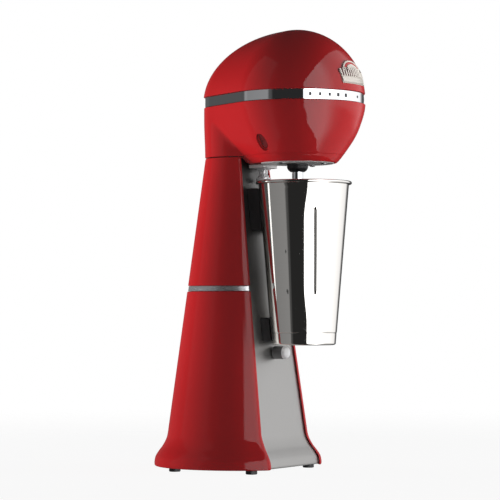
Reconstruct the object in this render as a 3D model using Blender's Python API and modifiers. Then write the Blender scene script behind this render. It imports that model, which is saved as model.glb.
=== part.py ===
"""Milkshake mixer: a ball-shaped head on a tapered, round-backed column, with a steel malt cup.

Metres, +Z up, the front faces -Y, origin on the floor under the middle of the outline.
"""

import math

import bmesh
import bpy
from mathutils import Matrix, Vector

MM = 0.001

# Overall layout
HEIGHT = 499.0  # floor to the top of the head cover
BALL_Y = -49.0  # spindle and motor axis
COLUMN_Y = 29.6  # centre of the round back of the column
CUP_Y = BALL_Y - 8.0
PLUNGER_Y = BALL_Y + 44.9

# Head
BALL_R = 77.0
EQUATOR_Z = 420.0
DOME_POWER = 1.96  # roundness of the dome: 2 is a plain ellipse
BAND_Z = (414.1, 425.7)
NECK_R = 39.5
NECK_BACK = COLUMN_Y - BALL_Y  # from the ball axis to the centre of the neck
BOWL = [  # outer radius of the bowl at each height
    (348.0, 44.0), (350.0, 46.2), (358.5, 53.0), (365.3, 57.8), (372.0, 62.3), (379.0, 66.3),
    (386.0, 69.5), (393.0, 72.0), (400.0, 74.3), (407.0, 76.0), (413.8, 76.9),
]
SHELL = 2.5  # wall of every painted casting

# Column: a cone cut by a sloping front
CONE_TOP = (355.2, 38.0, 57.3)  # height, radius, front face measured from the ball axis
CONE_FOOT = (42.0, 81.0, 17.6)
FLARE = [  # below the cone: height, radius, front face measured from the ball axis
    (37.0, 82.1, 16.2), (32.0, 84.2, 14.0), (26.5, 87.4, 11.0), (20.8, 91.6, 7.0), (15.2, 95.2, 3.6),
    (11.0, 96.5, 2.3), (5.6, 96.5, 2.3), (4.6, 95.7, 3.1),
]
TRIM_Z = (203.4, 209.4)
PANEL_INSET = 2.0

PIN_Z = 133.8  # middle of the pin below the cup

# Switch on the left side of the bowl
SWITCH_AT = Vector((-57.9, BALL_Y + 11.5, 368.9))
SWITCH_NORMAL = Vector((-0.808, 0.160, -0.568)).normalized()
SWITCH_SIZE = (14.0, 22.0)

COLLECTION = None
CUTTERS = None
MATERIALS = {}


# ---------------------------------------------------------------- scene and materials


def clear_scene():
    for obj in list(bpy.data.objects):
        bpy.data.objects.remove(obj, do_unlink=True)


def new_collection(name):
    made = bpy.data.collections.new(name)
    bpy.context.scene.collection.children.link(made)
    return made


def material(name, colour, metallic, roughness):
    mat = bpy.data.materials.new(name)
    mat.use_nodes = True
    shader = mat.node_tree.nodes["Principled BSDF"]
    shader.inputs["Base Color"].default_value = (*colour, 1)
    shader.inputs["Metallic"].default_value = metallic
    shader.inputs["Roughness"].default_value = roughness
    mat.diffuse_color = (*colour, 1)
    MATERIALS[name] = mat


def make_materials():
    material("red_enamel", (0.45, 0.010, 0.013), 0.0, 0.12)
    material("polished_steel", (0.70, 0.69, 0.67), 1.0, 0.08)
    material("brushed_steel", (0.42, 0.41, 0.40), 1.0, 0.35)
    material("zinc_plate", (0.55, 0.56, 0.58), 1.0, 0.4)
    material("chrome", (0.75, 0.75, 0.76), 1.0, 0.05)
    material("cast_iron", (0.06, 0.06, 0.065), 0.6, 0.7)
    material("black_rubber", (0.015, 0.015, 0.016), 0.0, 0.65)
    material("black_plastic", (0.025, 0.025, 0.027), 0.0, 0.4)
    material("white_nylon", (0.75, 0.74, 0.70), 0.0, 0.45)
    material("silicon_steel", (0.25, 0.25, 0.27), 0.9, 0.45)
    material("copper_winding", (0.50, 0.20, 0.07), 0.9, 0.35)
    material("bronze", (0.45, 0.27, 0.10), 1.0, 0.4)
    material("carbon", (0.02, 0.02, 0.02), 0.2, 0.8)
    material("spring_steel", (0.38, 0.38, 0.40), 1.0, 0.3)
    material("light_nylon", (0.55, 0.55, 0.53), 0.0, 0.5)


# ---------------------------------------------------------------- building blocks


def add(name, data, mat=None, cutter=False):
    obj = bpy.data.objects.new(name, data)
    (CUTTERS if cutter else COLLECTION).objects.link(obj)
    if cutter:
        obj.hide_render = True
        obj.display_type = "WIRE"
    else:
        data.materials.append(MATERIALS[mat])
    return obj


def mesh_from(name, verts, faces, mat, cutter=False, smooth=True):
    data = bpy.data.meshes.new(name)
    data.from_pydata([Vector(v) * MM for v in verts], [], faces)
    bm = bmesh.new()
    bm.from_mesh(data)
    bmesh.ops.recalc_face_normals(bm, faces=bm.faces)
    for face in bm.faces:
        face.smooth = smooth
    bm.to_mesh(data)
    bm.free()
    return add(name, data, mat, cutter)


def turned(name, profile, at, mat, axis=(0, 0, 1), steps=28, cutter=False):
    """A profile of (radius, height) points, down the outer side, turned about the axis through `at`."""
    data = bpy.data.meshes.new(name)
    closed = profile[0][0] > 1e-6
    verts = [(r * MM, 0, z * MM) for r, z in profile]
    edges = [(i, i + 1) for i in range(len(verts) - 1)] + ([(len(verts) - 1, 0)] if closed else [])
    data.from_pydata(verts, edges, [])
    obj = add(name, data, mat, cutter)
    screw = obj.modifiers.new("Turn", "SCREW")
    screw.steps = screw.render_steps = steps
    screw.use_merge_vertices = True
    screw.merge_threshold = 0.00001
    screw.use_smooth_shade = True
    obj.location = Vector(at) * MM
    obj.rotation_euler = Vector(axis).to_track_quat("Z", "Y").to_euler()
    return obj


def rod(name, radius, z0, z1, at, mat, axis=(0, 0, 1), steps=16, soft=0.4, cutter=False):
    soft = min(soft, radius / 3)
    profile = [(0, z1), (radius - soft, z1), (radius, z1 - soft)]
    profile += [(radius, z0 + soft), (radius - soft, z0), (0, z0)]
    return turned(name, profile, at, mat, axis, steps, cutter)


def ring(name, inner, outer, z0, z1, at, mat, axis=(0, 0, 1), steps=20):
    profile = [(inner, z1), (outer, z1), (outer, z0), (inner, z0)]
    return turned(name, profile, at, mat, axis, steps)


def block(name, low, high, mat, soft=0.5, cutter=False):
    low, high = Vector(low), Vector(high)
    data = bpy.data.meshes.new(name)
    bm = bmesh.new()
    bmesh.ops.create_cube(bm, size=1.0)
    size = (high - low) * MM
    bmesh.ops.scale(bm, vec=size, verts=bm.verts)
    bm.to_mesh(data)
    bm.free()
    obj = add(name, data, mat, cutter)
    obj.location = (low + high) / 2 * MM
    if soft:
        bevel = obj.modifiers.new("Edges", "BEVEL")
        bevel.width = soft * MM
        bevel.segments = 1
    return obj


def wire(name, points, radius, mat):
    data = bpy.data.curves.new(name, "CURVE")
    data.dimensions = "3D"
    data.bevel_depth = radius * MM
    data.bevel_resolution = 2
    data.use_fill_caps = True
    spline = data.splines.new("POLY")
    spline.points.add(len(points) - 1)
    for place, point in zip(spline.points, points):
        place.co = (*(Vector(point) * MM), 1)
    return add(name, data, mat)


def boolean(obj, other, operation):
    modifier = obj.modifiers.new(operation.title() + " " + other.name, "BOOLEAN")
    modifier.operation = operation
    modifier.solver = "EXACT"
    modifier.object = other
    return obj


def cut(obj, other):
    return boolean(obj, other, "DIFFERENCE")


def join(obj, other):
    """Adds another shape to obj; the other one is kept as a hidden helper."""
    COLLECTION.objects.unlink(other)
    CUTTERS.objects.link(other)
    other.hide_render = True
    other.display_type = "WIRE"
    return boolean(obj, other, "UNION")


def parent_to(pivot_name, at, *objects):
    pivot = bpy.data.objects.new(pivot_name, None)
    COLLECTION.objects.link(pivot)
    pivot.location = Vector(at) * MM
    bpy.context.view_layer.update()
    for obj in objects:
        obj.parent = pivot
        obj.matrix_parent_inverse = Matrix.Translation(-pivot.location)
    return pivot


def closed_loft(name, rings, mat, cutter=False):
    """A closed body through rings of equal length, capped at both ends."""
    n = len(rings[0])
    verts = [p for r in rings for p in r]
    faces = [tuple(range(n)), tuple(range(len(verts) - n, len(verts)))]
    for k in range(len(rings) - 1):
        for i in range(n):
            j = (i + 1) % n
            faces.append((k * n + i, k * n + j, (k + 1) * n + j, (k + 1) * n + i))
    return mesh_from(name, verts, faces, mat, cutter)


def wall(name, outer, inner, mat, around=False):
    """The wall between two grids of points. `around` closes each row on itself."""
    rows, n = len(outer), len(outer[0])
    verts = [p for r in outer for p in r] + [p for r in inner for p in r]
    base = rows * n
    faces = []
    for k in range(rows - 1):
        for i in range(n if around else n - 1):
            j = (i + 1) % n
            a, b, c, d = k * n + i, k * n + j, (k + 1) * n + j, (k + 1) * n + i
            faces += [(a, b, c, d), (base + a, base + b, base + c, base + d)]
        if not around:
            for i in (0, n - 1):
                a, d = k * n + i, (k + 1) * n + i
                faces.append((a, d, base + d, base + a))
    for k in (0, rows - 1):
        for i in range(n if around else n - 1):
            j = (i + 1) % n
            faces.append((k * n + i, k * n + j, base + k * n + j, base + k * n + i))
    return mesh_from(name, verts, faces, mat)


# ---------------------------------------------------------------- shapes of the column


def column_at(z):
    """Radius of the back and Y of the front face at a height."""
    if z >= CONE_FOOT[0]:
        t = (CONE_TOP[0] - z) / (CONE_TOP[0] - CONE_FOOT[0])
        r = CONE_TOP[1] + t * (CONE_FOOT[1] - CONE_TOP[1])
        f = CONE_TOP[2] + t * (CONE_FOOT[2] - CONE_TOP[2])
        return r, BALL_Y + f
    table = [CONE_FOOT] + FLARE
    for (z1, r1, f1), (z0, r0, f0) in zip(table, table[1:]):
        if z >= z0:
            t = (z1 - z) / (z1 - z0)
            return r1 + t * (r0 - r1), BALL_Y + f1 + t * (f0 - f1)
    return table[-1][1], BALL_Y + table[-1][2]


def column_arc(z, inset, front=0.0, n=25):
    """The round back from the left front corner to the right one, moved in by `inset`."""
    r, f = column_at(z)
    r -= inset
    f += front
    start = math.asin((COLUMN_Y - f) / r)
    points = []
    for i in range(n):
        low, high = math.pi + start, -start
        a = low + (high - low) * i / (n - 1)
        points.append((r * math.cos(a), COLUMN_Y + r * math.sin(a), z))
    return points


def column_levels(low, high):
    table = [CONE_FOOT] + FLARE
    return [low] + [z for z, _, _ in reversed(table) if low < z < high] + [high]


def column_shell(name, low, high, inset, thick, mat, front=0.0):
    levels = column_levels(low, high)
    outer = [column_arc(z, inset, front) for z in levels]
    inner = [column_arc(z, inset + thick, front) for z in levels]
    return wall(name, outer, inner, mat)


def build_column():
    lower = column_shell("column_lower_shell", 4.6, 203.1, 0.0, SHELL, "red_enamel")
    column_shell("column_upper_shell", 209.7, 355.2, 0.0, SHELL, "red_enamel")
    column_shell("column_trim", *TRIM_Z, 1.1, 1.1, "polished_steel", front=0.6)
    build_front_panel()
    inlet_cut = block("inlet_cut", (-11.3, 88.0, 28.3), (11.3, 140.0, 43.7), None, 0, cutter=True)
    cut(lower, inlet_cut)
    build_inlet()


def panel_grid(front, margin, levels):
    rows = []
    for z in levels:
        r, f = column_at(z)
        half = math.sqrt((r - SHELL) ** 2 - (COLUMN_Y - f - front) ** 2) - margin
        rows.append([(half * (i / 4 - 1), f + front, z) for i in range(9)])
    return rows


def build_front_panel():
    levels = column_levels(5.2, 354.8)
    front = panel_grid(PANEL_INSET, 0.8, levels)
    back = [[(x * 0.99, y + 1.5, z) for x, y, z in row] for row in front]
    panel = wall("front_panel", front, back, "brushed_steel")
    cut(panel, rod("pin_hole", 4.4, -40, 40, (0, BALL_Y + 30, PIN_Z), None, axis=(0, 1, 0), cutter=True))


def build_inlet():
    inlet = block("power_inlet", (-10.9, 92.0, 28.7), (10.9, 114.2, 43.3), "black_plastic", 1.2)
    mouth = block("inlet_mouth", (-8.0, 101.0, 31.5), (8.0, 140.0, 40.5), None, 0, cutter=True)
    cut(inlet, mouth)


def build_base():
    plate = closed_loft(
        "base_plate",
        [column_arc(z, 3.2, 5.0, 25) for z in (5.2, 8.2)],
        "zinc_plate",
    )
    for side, (x, y) in FEET.items():
        foot(plate, side, x, y)
    block("base_ballast", (-52.0, 26.0, 8.6), (52.0, 84.0, 26.0), "cast_iron", 2.0)


FEET = {
    "front_left": (-63.5, -26.5),
    "front_right": (63.5, -26.5),
    "rear_left": (-71.0, 70.0),
    "rear_right": (71.0, 70.0),
}


def foot(plate, side, x, y):
    """A rubber foot whose barbed stem is pressed through the base plate."""
    profile = [(0, 12.0), (1.8, 11.4), (2.9, 9.2), (2.9, 8.6), (2.2, 8.5), (2.2, 4.9)]
    profile += [(6.2, 4.9), (6.6, 0.8), (6.0, 0), (0, 0)]
    turned(f"foot_{side}", profile, (x, y, 0), "black_rubber", steps=16)
    cut(plate, rod(f"foot_hole_{side}", 2.6, 0, 20, (x, y, 0), None, steps=16, cutter=True))


# ---------------------------------------------------------------- inside the column


def build_spine():
    spine = block("column_spine", (-20, 17.0, 8.6), (20, 21.0, 352.0), "zinc_plate", 0.6)
    join(spine, block("spine_head", (-22, 18.0, 348.4), (22, 42.0, 352.4), "zinc_plate", 0.6))
    for side, x in (("left", -15.0), ("right", 15.0)):
        cut(spine, rod(f"spine_hole_{side}", 2.9, 340, 360, (x, 32.0, 0), None, steps=16, cutter=True))
        profile = [(0, 363.0), (4.4, 363.0), (4.4, 358.9), (2.5, 358.9), (2.5, 343.0), (0, 343.0)]
        turned(f"neck_bolt_{side}", profile, (x, 32.0, 0), "zinc_plate", steps=18)
    pin = [(0, 18.6), (3.4, 18.2), (5.9, 16.8), (7.3, 14.4), (7.6, 12.0)]
    pin += [(7.6, 0.2), (3.8, 0.2), (3.8, -9.0), (0, -9.0)]
    turned("cup_rest_pin", pin, (0, BALL_Y + 30, PIN_Z), "light_nylon", axis=(0, -1, 0), steps=26)


def cup_radius(z):
    return 37.3 + (z - 157.0) * (51.0 - 37.3) / (322.5 - 157.0)


def pad_ring(z, half, gap):
    """Straight back against the panel, hollow front that follows the cup."""
    back = column_at(z)[1] + PANEL_INSET - 0.3
    radius = cup_radius(z) + gap
    xs = [half * (i / 8 - 1) for i in range(17)]
    front = [(x, CUP_Y + math.sqrt(radius ** 2 - x * x), z) for x in xs]
    return front + [(half, back, z), (0, back, z), (-half, back, z)]


def build_pads():
    levels = [271.5, 273.0, 318.5, 320.0]
    shrink = [1.0, 0.0, 0.0, 1.0]
    rings = [pad_ring(z, 21.0 - s, 0.6 + s) for z, s in zip(levels, shrink)]
    closed_loft("cup_pad_upper", rings, "black_rubber")
    levels = [146.5, 148.0, 172.0, 173.5]
    rings = [pad_ring(z, 22.0 - s, 0.6 + s) for z, s in zip(levels, shrink)]
    closed_loft("cup_pad_lower", rings, "black_rubber")


# ---------------------------------------------------------------- shapes of the head


def neck_reach(phi, r, back):
    """Distance from the ball axis to the neck, `phi` from straight back."""
    s, c = abs(math.sin(phi)), math.cos(phi)
    if c <= 0:
        return 0.0
    if s * back < r and (s < 1e-9 or r * c > back * s):
        return back * c + math.sqrt(max(r * r - (back * s) ** 2, 0.0))
    return r / s


def hull_reach(phi, ball, r, back):
    """Distance to the taut outline round the ball and the neck."""
    phi = abs(phi)
    lean = math.asin((ball - r) / back)
    first = math.pi / 2 - lean
    second = math.atan2(r * math.cos(lean), back + r * math.sin(lean))
    if phi >= first:
        return ball
    if phi <= second:
        return back * math.cos(phi) + math.sqrt(r * r - (back * math.sin(phi)) ** 2)
    return ball / (math.sin(phi) * math.cos(lean) + math.cos(phi) * math.sin(lean))


def soft_max(a, b, k):
    if k <= 0:
        return max(a, b)
    h = max(k - abs(a - b), 0.0) / k
    return max(a, b) + h * h * k * 0.25


def bowl_radius(z):
    for (z0, r0), (z1, r1) in zip(BOWL, BOWL[1:]):
        if z <= z1:
            return r0 + (r1 - r0) * (z - z0) / (z1 - z0)
    return BOWL[-1][1]


def smooth_step(t):
    t = min(max(t, 0.0), 1.0)
    return t * t * (3 - 2 * t)


SECTORS = 52


def angles():
    """Finer steps towards the back, where the outline is tight."""
    return [math.pi * (2 * i / SECTORS - 1) for i in range(SECTORS)]


def around(reach, z):
    return [(reach(a) * math.sin(a), BALL_Y + reach(a) * math.cos(a), z) for a in angles()]


def lower_section(z, thick=0.0):
    """Outline of the bowl joined to its neck."""
    ball, neck = bowl_radius(z) - thick, NECK_R - 1.2 * smooth_step((400 - z) / 44) - thick
    taut = smooth_step((z - 372) / 40)
    blend = 4 + 24 * smooth_step((z - 358) / 40)

    def reach(phi):
        joined = soft_max(ball, neck_reach(phi, neck, NECK_BACK), blend if abs(phi) < 1.4 else 0)
        return joined + taut * (hull_reach(phi, ball, neck, NECK_BACK) - joined)

    return around(reach, z)


def circle_section(z, radius):
    return around(lambda phi: radius, z)


def build_head_lower_shell():
    levels = [413.8, 404, 393, 383, 374, 365.3, 360, 356.3]
    rings = [lower_section(z) for z in levels]
    rings += [circle_section(z, bowl_radius(z)) for z in (356.3, 352.0, 349.2)]
    rings.append(circle_section(348.0, 42.9))
    shell = closed_loft("head_lower_shell", rings, "red_enamel")
    levels = [430, 413.8, 404, 393, 383, 374, 365.3, 358.8]
    rings = [lower_section(min(z, 413.8), SHELL) for z in levels]
    rings[0] = [(x, y, 430) for x, y, _ in rings[0]]
    rings.append(circle_section(358.8, bowl_radius(358.8) - SHELL))
    rings += [circle_section(351.0, 42.0), circle_section(345.0, 42.0)]
    cut(shell, closed_loft("head_hollow", rings, None, cutter=True))
    cut(shell, rod("wire_hole", 6.5, 350, 365, (0, 47.0, 0), None, steps=24, cutter=True))
    for side, x in (("left", -15.0), ("right", 15.0)):
        cut(shell, rod(f"neck_hole_{side}", 2.9, 350, 362, (x, 32.0, 0), None, steps=16, cutter=True))
    cut(shell, rod("guide_bore", 7.2, 340, 366, (0, PLUNGER_Y, 0), None, cutter=True))
    cut(shell, oval("switch_opening", -16, 12, 0.0, None, cutter=True))
    return shell


def cover_rings(thick):
    """The dome: the outline at the band, drawn in to a rounded top."""
    top = HEIGHT - EQUATOR_Z - thick
    start = BAND_Z[1] + 0.3 - EQUATOR_Z
    rings = []
    for k in range(9):
        v = start + (top - start) * math.sin(math.pi / 2 * k / 9.0)

        def reach(phi, v=v):
            plan = hull_reach(phi, BALL_R - thick, NECK_R + 0.8 - thick, NECK_BACK)
            return plan * (1 - (v / top) ** DOME_POWER) ** (1 / DOME_POWER)

        rings.append(around(reach, EQUATOR_Z + v))
    return rings, EQUATOR_Z + top


def build_head_cover():
    n = SECTORS
    outer, outer_top = cover_rings(0.0)
    inner, inner_top = cover_rings(SHELL)
    rows = len(outer)
    verts = [p for r in outer for p in r] + [p for r in inner for p in r]
    base = rows * n
    verts += [(0, BALL_Y + 3, outer_top), (0, BALL_Y + 3, inner_top)]
    faces = []
    for i in range(n):
        j = (i + 1) % n
        for k in range(rows - 1):
            a, b, c, d = k * n + i, k * n + j, (k + 1) * n + j, (k + 1) * n + i
            faces += [(a, b, c, d), (base + a, base + b, base + c, base + d)]
        last = (rows - 1) * n
        faces += [(last + i, last + j, 2 * base), (base + last + i, base + last + j, 2 * base + 1)]
        faces.append((i, j, base + j, base + i))
    mesh_from("head_cover", verts, faces, "red_enamel")


def build_band():
    def outline(drop, z):
        return around(lambda phi: hull_reach(phi, BALL_R - drop, NECK_R - drop + 0.4, NECK_BACK), z)

    outer = [outline(2.2, BAND_Z[0]), outline(1.7, BAND_Z[0] + 0.6)]
    outer += [outline(1.7, BAND_Z[1] - 0.6), outline(2.2, BAND_Z[1])]
    inner = [outline(4.6, z) for z in (BAND_Z[0], BAND_Z[0] + 0.6, BAND_Z[1] - 0.6, BAND_Z[1])]
    wall("head_band", outer, inner, "chrome", around=True)


def dome_front(x, z):
    """Y of the front of the dome at a point seen from the front."""
    r = BALL_R * (1 - ((z - EQUATOR_Z) / (HEIGHT - EQUATOR_Z)) ** DOME_POWER) ** (1 / DOME_POWER)
    return BALL_Y - math.sqrt(r * r - x * x)


BADGE = [  # height and half width: a plain name bar under an arch
    (433.4, 23.6), (434.0, 24.2), (440.0, 24.2), (444.6, 24.2), (446.0, 26.0), (449.4, 25.6), (450.2, 19.2),
    (453.0, 18.0), (456.0, 15.2), (458.6, 10.8), (460.2, 4.5),
]


def build_badge():
    """One casting laid on the front of the dome."""
    def skin(lift):
        return [
            [(w * (i / 5 - 1), dome_front(w * (i / 5 - 1), z) - lift, z) for i in range(11)]
            for z, w in BADGE
        ]

    wall("badge", skin(2.4), skin(0.45), "polished_steel")


def build_head_base_plate():
    profile = [(0, 350.0), (41.0, 350.0), (41.5, 349.4), (41.5, 347.6), (41.0, 347.3), (0, 347.3)]
    plate = turned("head_base_plate", profile, (0, BALL_Y, 0), "brushed_steel", steps=38)
    plate.rotation_euler[2] = math.radians(2.3)
    cut(plate, rod("spindle_hole", 8.2, 340, 355, (0, BALL_Y, 0), None, cutter=True))
    for side, x, y in PLATE_SCREWS:
        hole = rod(f"plate_hole_{side}", 2.0, 340, 355, (x, BALL_Y + y, 0), None, steps=14, cutter=True)
        cut(plate, hole)
        profile = [(0, 362.0), (1.6, 362.0), (1.6, 347.0), (3.2, 347.0), (3.0, 345.9), (0, 345.7)]
        turned(f"plate_screw_{side}", profile, (x, BALL_Y + y, 0), "zinc_plate", steps=14)
    low, high = (-15.0, BALL_Y + 34.0, 343.6), (15.0, BALL_Y + 57.0, 347.1)
    tongue = block("rear_tongue", low, high, "brushed_steel", 0.6)
    cut(tongue, rod("guide_hole", 6.9, 330, 360, (0, PLUNGER_Y, 0), None, cutter=True))
    cut(plate, rod("guide_gap", 7.2, 330, 360, (0, PLUNGER_Y, 0), None, cutter=True))


PLATE_SCREWS = [("left", -34.0, 0.0), ("right", 34.0, 0.0), ("front", 0.0, -34.0)]


# ---------------------------------------------------------------- motor


def build_motor():
    at = (0, BALL_Y, 0)
    lower = block("motor_lower_bracket", (-36, BALL_Y - 14, 382), (36, BALL_Y + 14, 385.5), "zinc_plate", 0.5)
    join(lower, rod("lower_hub", 12.5, 376, 385, at, "zinc_plate"))
    cut(lower, rod("lower_bore", 8.3, 370, 390, at, None, cutter=True))
    upper = block("motor_upper_bracket", (-36, BALL_Y - 14, 444), (36, BALL_Y + 14, 447.5), "zinc_plate", 0.5)
    join(upper, rod("upper_hub", 12.5, 445, 456, at, "zinc_plate"))
    cut(upper, rod("upper_bore", 8.3, 440, 460, at, None, cutter=True))
    ring("lower_bearing", 3.4, 8.0, 377, 384, at, "bronze")
    ring("upper_bearing", 3.4, 8.0, 447, 454, at, "bronze")
    core = block("stator_core", (-32, BALL_Y - 27, 396), (32, BALL_Y + 27, 424), "silicon_steel", 1.5)
    cut(core, rod("stator_bore", 18.6, 380, 440, at, None, cutter=True))
    for side, s in (("front", -1), ("rear", 1)):
        y0, y1 = sorted((BALL_Y + s * 18.8, BALL_Y + s * 26.8))
        near, far = (y0, y1 - 0.6) if s > 0 else (y0 - 0.6, y1)
        coil_slot = block(f"coil_slot_{side}", (-24.6, near, 380), (24.6, far, 440), None, 0, cutter=True)
        cut(core, coil_slot)
        y0, y1 = sorted((BALL_Y + s * 19.2, BALL_Y + s * 25.6))
        coil = block(f"field_coil_{side}", (-24.0, y0, 390), (24.0, y1, 430), "copper_winding", 1.6)
        window = block(f"coil_window_{side}", (-16, y0 - 5, 396.0), (16, y1 + 5, 424.0), None, 0, cutter=True)
        cut(coil, window)
    for side, x in (("left", -28.5), ("right", 28.5)):
        hole = rod(f"motor_bolt_hole_{side}", 2.4, 370, 460, (x, BALL_Y, 0), None, steps=16, cutter=True)
        for obj in (core, lower, upper):
            cut(obj, hole)
        profile = [(0, 452), (3.8, 452), (3.8, 447.9), (2.0, 447.9), (2.0, 356), (0, 356)]
        turned(f"motor_bolt_{side}", profile, (x, BALL_Y, 0), "zinc_plate", steps=16)
        s = -1 if x < 0 else 1
        lo, hi = sorted((s * 14.6, s * 25.8))
        outside = ((lo, BALL_Y - 5, 431.5), (hi, BALL_Y + 5, 443.6))
        holder = block(f"brush_holder_{side}", *outside, "black_plastic", 0.6)
        lo2, hi2 = sorted((s * 10.0, s * 24.0))
        bore = ((lo2, BALL_Y - 3.3, 434.2), (hi2, BALL_Y + 3.3, 440.8))
        cut(holder, block(f"brush_bore_{side}", *bore, None, 0, cutter=True))
        lo3, hi3 = sorted((s * 10.4, s * 23.0))
        block(f"carbon_brush_{side}", (lo3, BALL_Y - 2.9, 434.6), (hi3, BALL_Y + 2.9, 440.4), "carbon", 0.3)


def build_spindle():
    at = (0, BALL_Y, 0)
    shaft = [(0, 458), (2.6, 458), (3.0, 457.5), (3.0, 369.0), (0, 369.0)]
    turned("motor_shaft", shaft, at, "spring_steel", steps=20)
    ring("armature", 3.3, 17.8, 394, 426, at, "silicon_steel", steps=30)
    ring("commutator", 3.3, 9.9, 433, 442, at, "copper_winding", steps=24)
    build_fan(at)
    sleeve = [(0, 368.6), (5.6, 368.6), (6.2, 368.0), (6.2, 321.0), (5.4, 319.6)]
    sleeve += [(3.9, 319.2), (3.9, 317.0), (0, 317.0)]
    turned("spindle_sleeve", sleeve, at, "chrome", steps=28)
    turned("agitator_shaft", [(0, 316.6), (3.3, 316.6), (3.3, 178.6), (0, 178.6)], at, "chrome", steps=20)
    build_agitator(at)


def build_fan(at):
    n = 10
    hub = [(3.3, 375.4), (26.0, 375.4), (26.0, 374.0), (6.6, 374.0), (6.6, 369.4), (3.3, 369.4)]
    fan = turned("cooling_fan", hub, at, "white_nylon", steps=30)
    verts, faces = [], []
    for i in range(n):
        a = 2 * math.pi * i / n
        k = len(verts)
        for r, turn in ((9.0, 0.0), (25.0, 0.22)):
            for w in (-0.9, 0.9):
                for z in (370.2, 374.7):
                    x, y = r * math.cos(a + turn), r * math.sin(a + turn)
                    verts.append((x - w * math.sin(a + turn), BALL_Y + y + w * math.cos(a + turn), z))
        faces += [tuple(k + q for q in f) for f in
                  ((0, 1, 3, 2), (4, 6, 7, 5), (0, 4, 5, 1), (2, 3, 7, 6), (0, 2, 6, 4), (1, 5, 7, 3))]
    join(fan, mesh_from("fan_blades", verts, faces, "white_nylon", smooth=False))


def build_agitator(at):
    """A shallow waved disc under a small dome nut."""
    n, rings = 32, []
    for r, z in ((3.6, 185.0), (8.0, 185.0), (13.0, 183.6), (13.0, 182.2), (8.0, 183.4), (3.6, 183.4)):
        row = []
        for i in range(n):
            a = 2 * math.pi * i / n
            wave = 1.4 * math.sin(4 * a) * max(r - 8.0, 0) / 5.0
            row.append((r * math.cos(a), BALL_Y + r * math.sin(a), z + wave))
        rings.append(row)
    verts = [p for r in rings for p in r]
    faces = []
    for k in range(6):
        for i in range(n):
            j, m = (i + 1) % n, (k + 1) % 6
            faces.append((k * n + i, k * n + j, m * n + j, m * n + i))
    mesh_from("agitator_disc", verts, faces, "polished_steel")
    nut = [(0, 178.2), (4.8, 178.2), (4.8, 175.4), (3.6, 173.6), (0, 173.0)]
    turned("agitator_nut", nut, at, "chrome", steps=18)


def build_boot():
    profile = [(6.9, 347.0), (12.3, 347.0), (12.3, 344.6), (11.4, 341.8)]
    profile += [(9.6, 339.4), (7.6, 338.0), (6.9, 337.9)]
    turned("shaft_boot", profile, (0, BALL_Y, 0), "black_rubber", steps=30)


# ---------------------------------------------------------------- cup, catch and switches


def build_cup():
    outer = [(54.0, 326.4), (54.4, 325.4), (54.0, 324.4), (53.2, 323.8), (52.0, 323.5), (51.0, 322.5),
             (37.3, 157.6), (36.9, 157.0), (37.1, 156.4), (36.5, 149.0), (36.1, 144.8), (35.2, 143.2),
             (33.6, 142.6)]
    inner = [(0, 145.6), (26.0, 145.6), (30.6, 144.0), (33.4, 144.0), (34.8, 144.9), (35.3, 146.4),
             (35.6, 149.4), (36.4, 157.6), (50.1, 322.8), (50.6, 325.6), (51.4, 326.8), (52.7, 327.2)]
    floor = [(29.0, 143.0), (25.6, 144.7), (0, 144.7)]
    cup = turned("malt_cup", inner + outer + floor, (0, CUP_Y, 0), "polished_steel", steps=38)
    parent_to("cup_pivot", (0, BALL_Y + 46.2, 327.3), cup)


def build_plunger():
    at = (0, PLUNGER_Y, 0)
    guide = [(5.5, 352.0), (6.6, 352.0), (6.6, 343.3), (8.2, 343.3), (8.2, 341.4), (5.5, 341.4)]
    turned("plunger_guide", guide, at, "chrome", steps=20)
    plunger = [(0, 375.4), (1.6, 375.2), (3.0, 374.0), (3.0, 353.6), (5.2, 353.6)]
    plunger += [(5.2, 336.0), (4.4, 335.6), (4.4, 331.4), (0, 331.4)]
    turned("plunger_rod", plunger, at, "chrome", steps=28)
    catch = build_catch(at)
    coil = []
    turns, n = 4.5, 45
    for i in range(n + 1):
        t = i / n
        a = 2 * math.pi * turns * t
        coil.append((4.6 * math.cos(a), PLUNGER_Y + 4.6 * math.sin(a), 354.6 + 11.2 * t))
    wire("plunger_spring", coil, 0.55, "spring_steel")
    sides = ((-13, PLUNGER_Y - 4, 359.2), (13, PLUNGER_Y + 7, 369.0))
    bridge = block("plunger_bracket", *sides, "zinc_plate", 0.4)
    gap = ((-11, PLUNGER_Y - 20, 340), (11, PLUNGER_Y + 20, 367.0))
    cut(bridge, block("bracket_gap", *gap, None, 0, cutter=True))
    cut(bridge, rod("bracket_bore", 3.5, 360, 380, at, None, steps=20, cutter=True))
    return catch


def build_catch(at):
    """The stepped collar that bears on the rim; its underside slopes down to the front."""
    profile = [(0, 331.0), (4.75, 331.0), (4.75, 335.4), (6.2, 335.4), (6.6, 334.8), (6.6, 333.6), (5.9, 333.2),
               (7.9, 332.4), (8.2, 331.6), (8.2, 329.2), (7.6, 328.2), (0, 327.9)]
    return turned("rim_catch", profile, at, "chrome", steps=20)


def build_microswitch():
    y = PLUNGER_Y
    body = block("microswitch", (-3.2, y + 4, 383.0), (3.2, y + 24, 393.5), "black_plastic", 0.5)
    join(body, rod("microswitch_button", 1.3, 380.2, 384.0, (0, y + 12, 0), "black_plastic", steps=14))
    join(body, block("microswitch_post", (2.8, y + 8, 359.2), (5.4, y + 21, 392.0), "black_plastic", 0.4))
    lever = block("microswitch_lever", (-2.2, y - 3.5, 376.0), (2.2, y + 23.0, 376.8), "spring_steel", 0.2)
    parent_to("lever_pivot", (0, y + 22, 376.4), lever)


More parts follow.
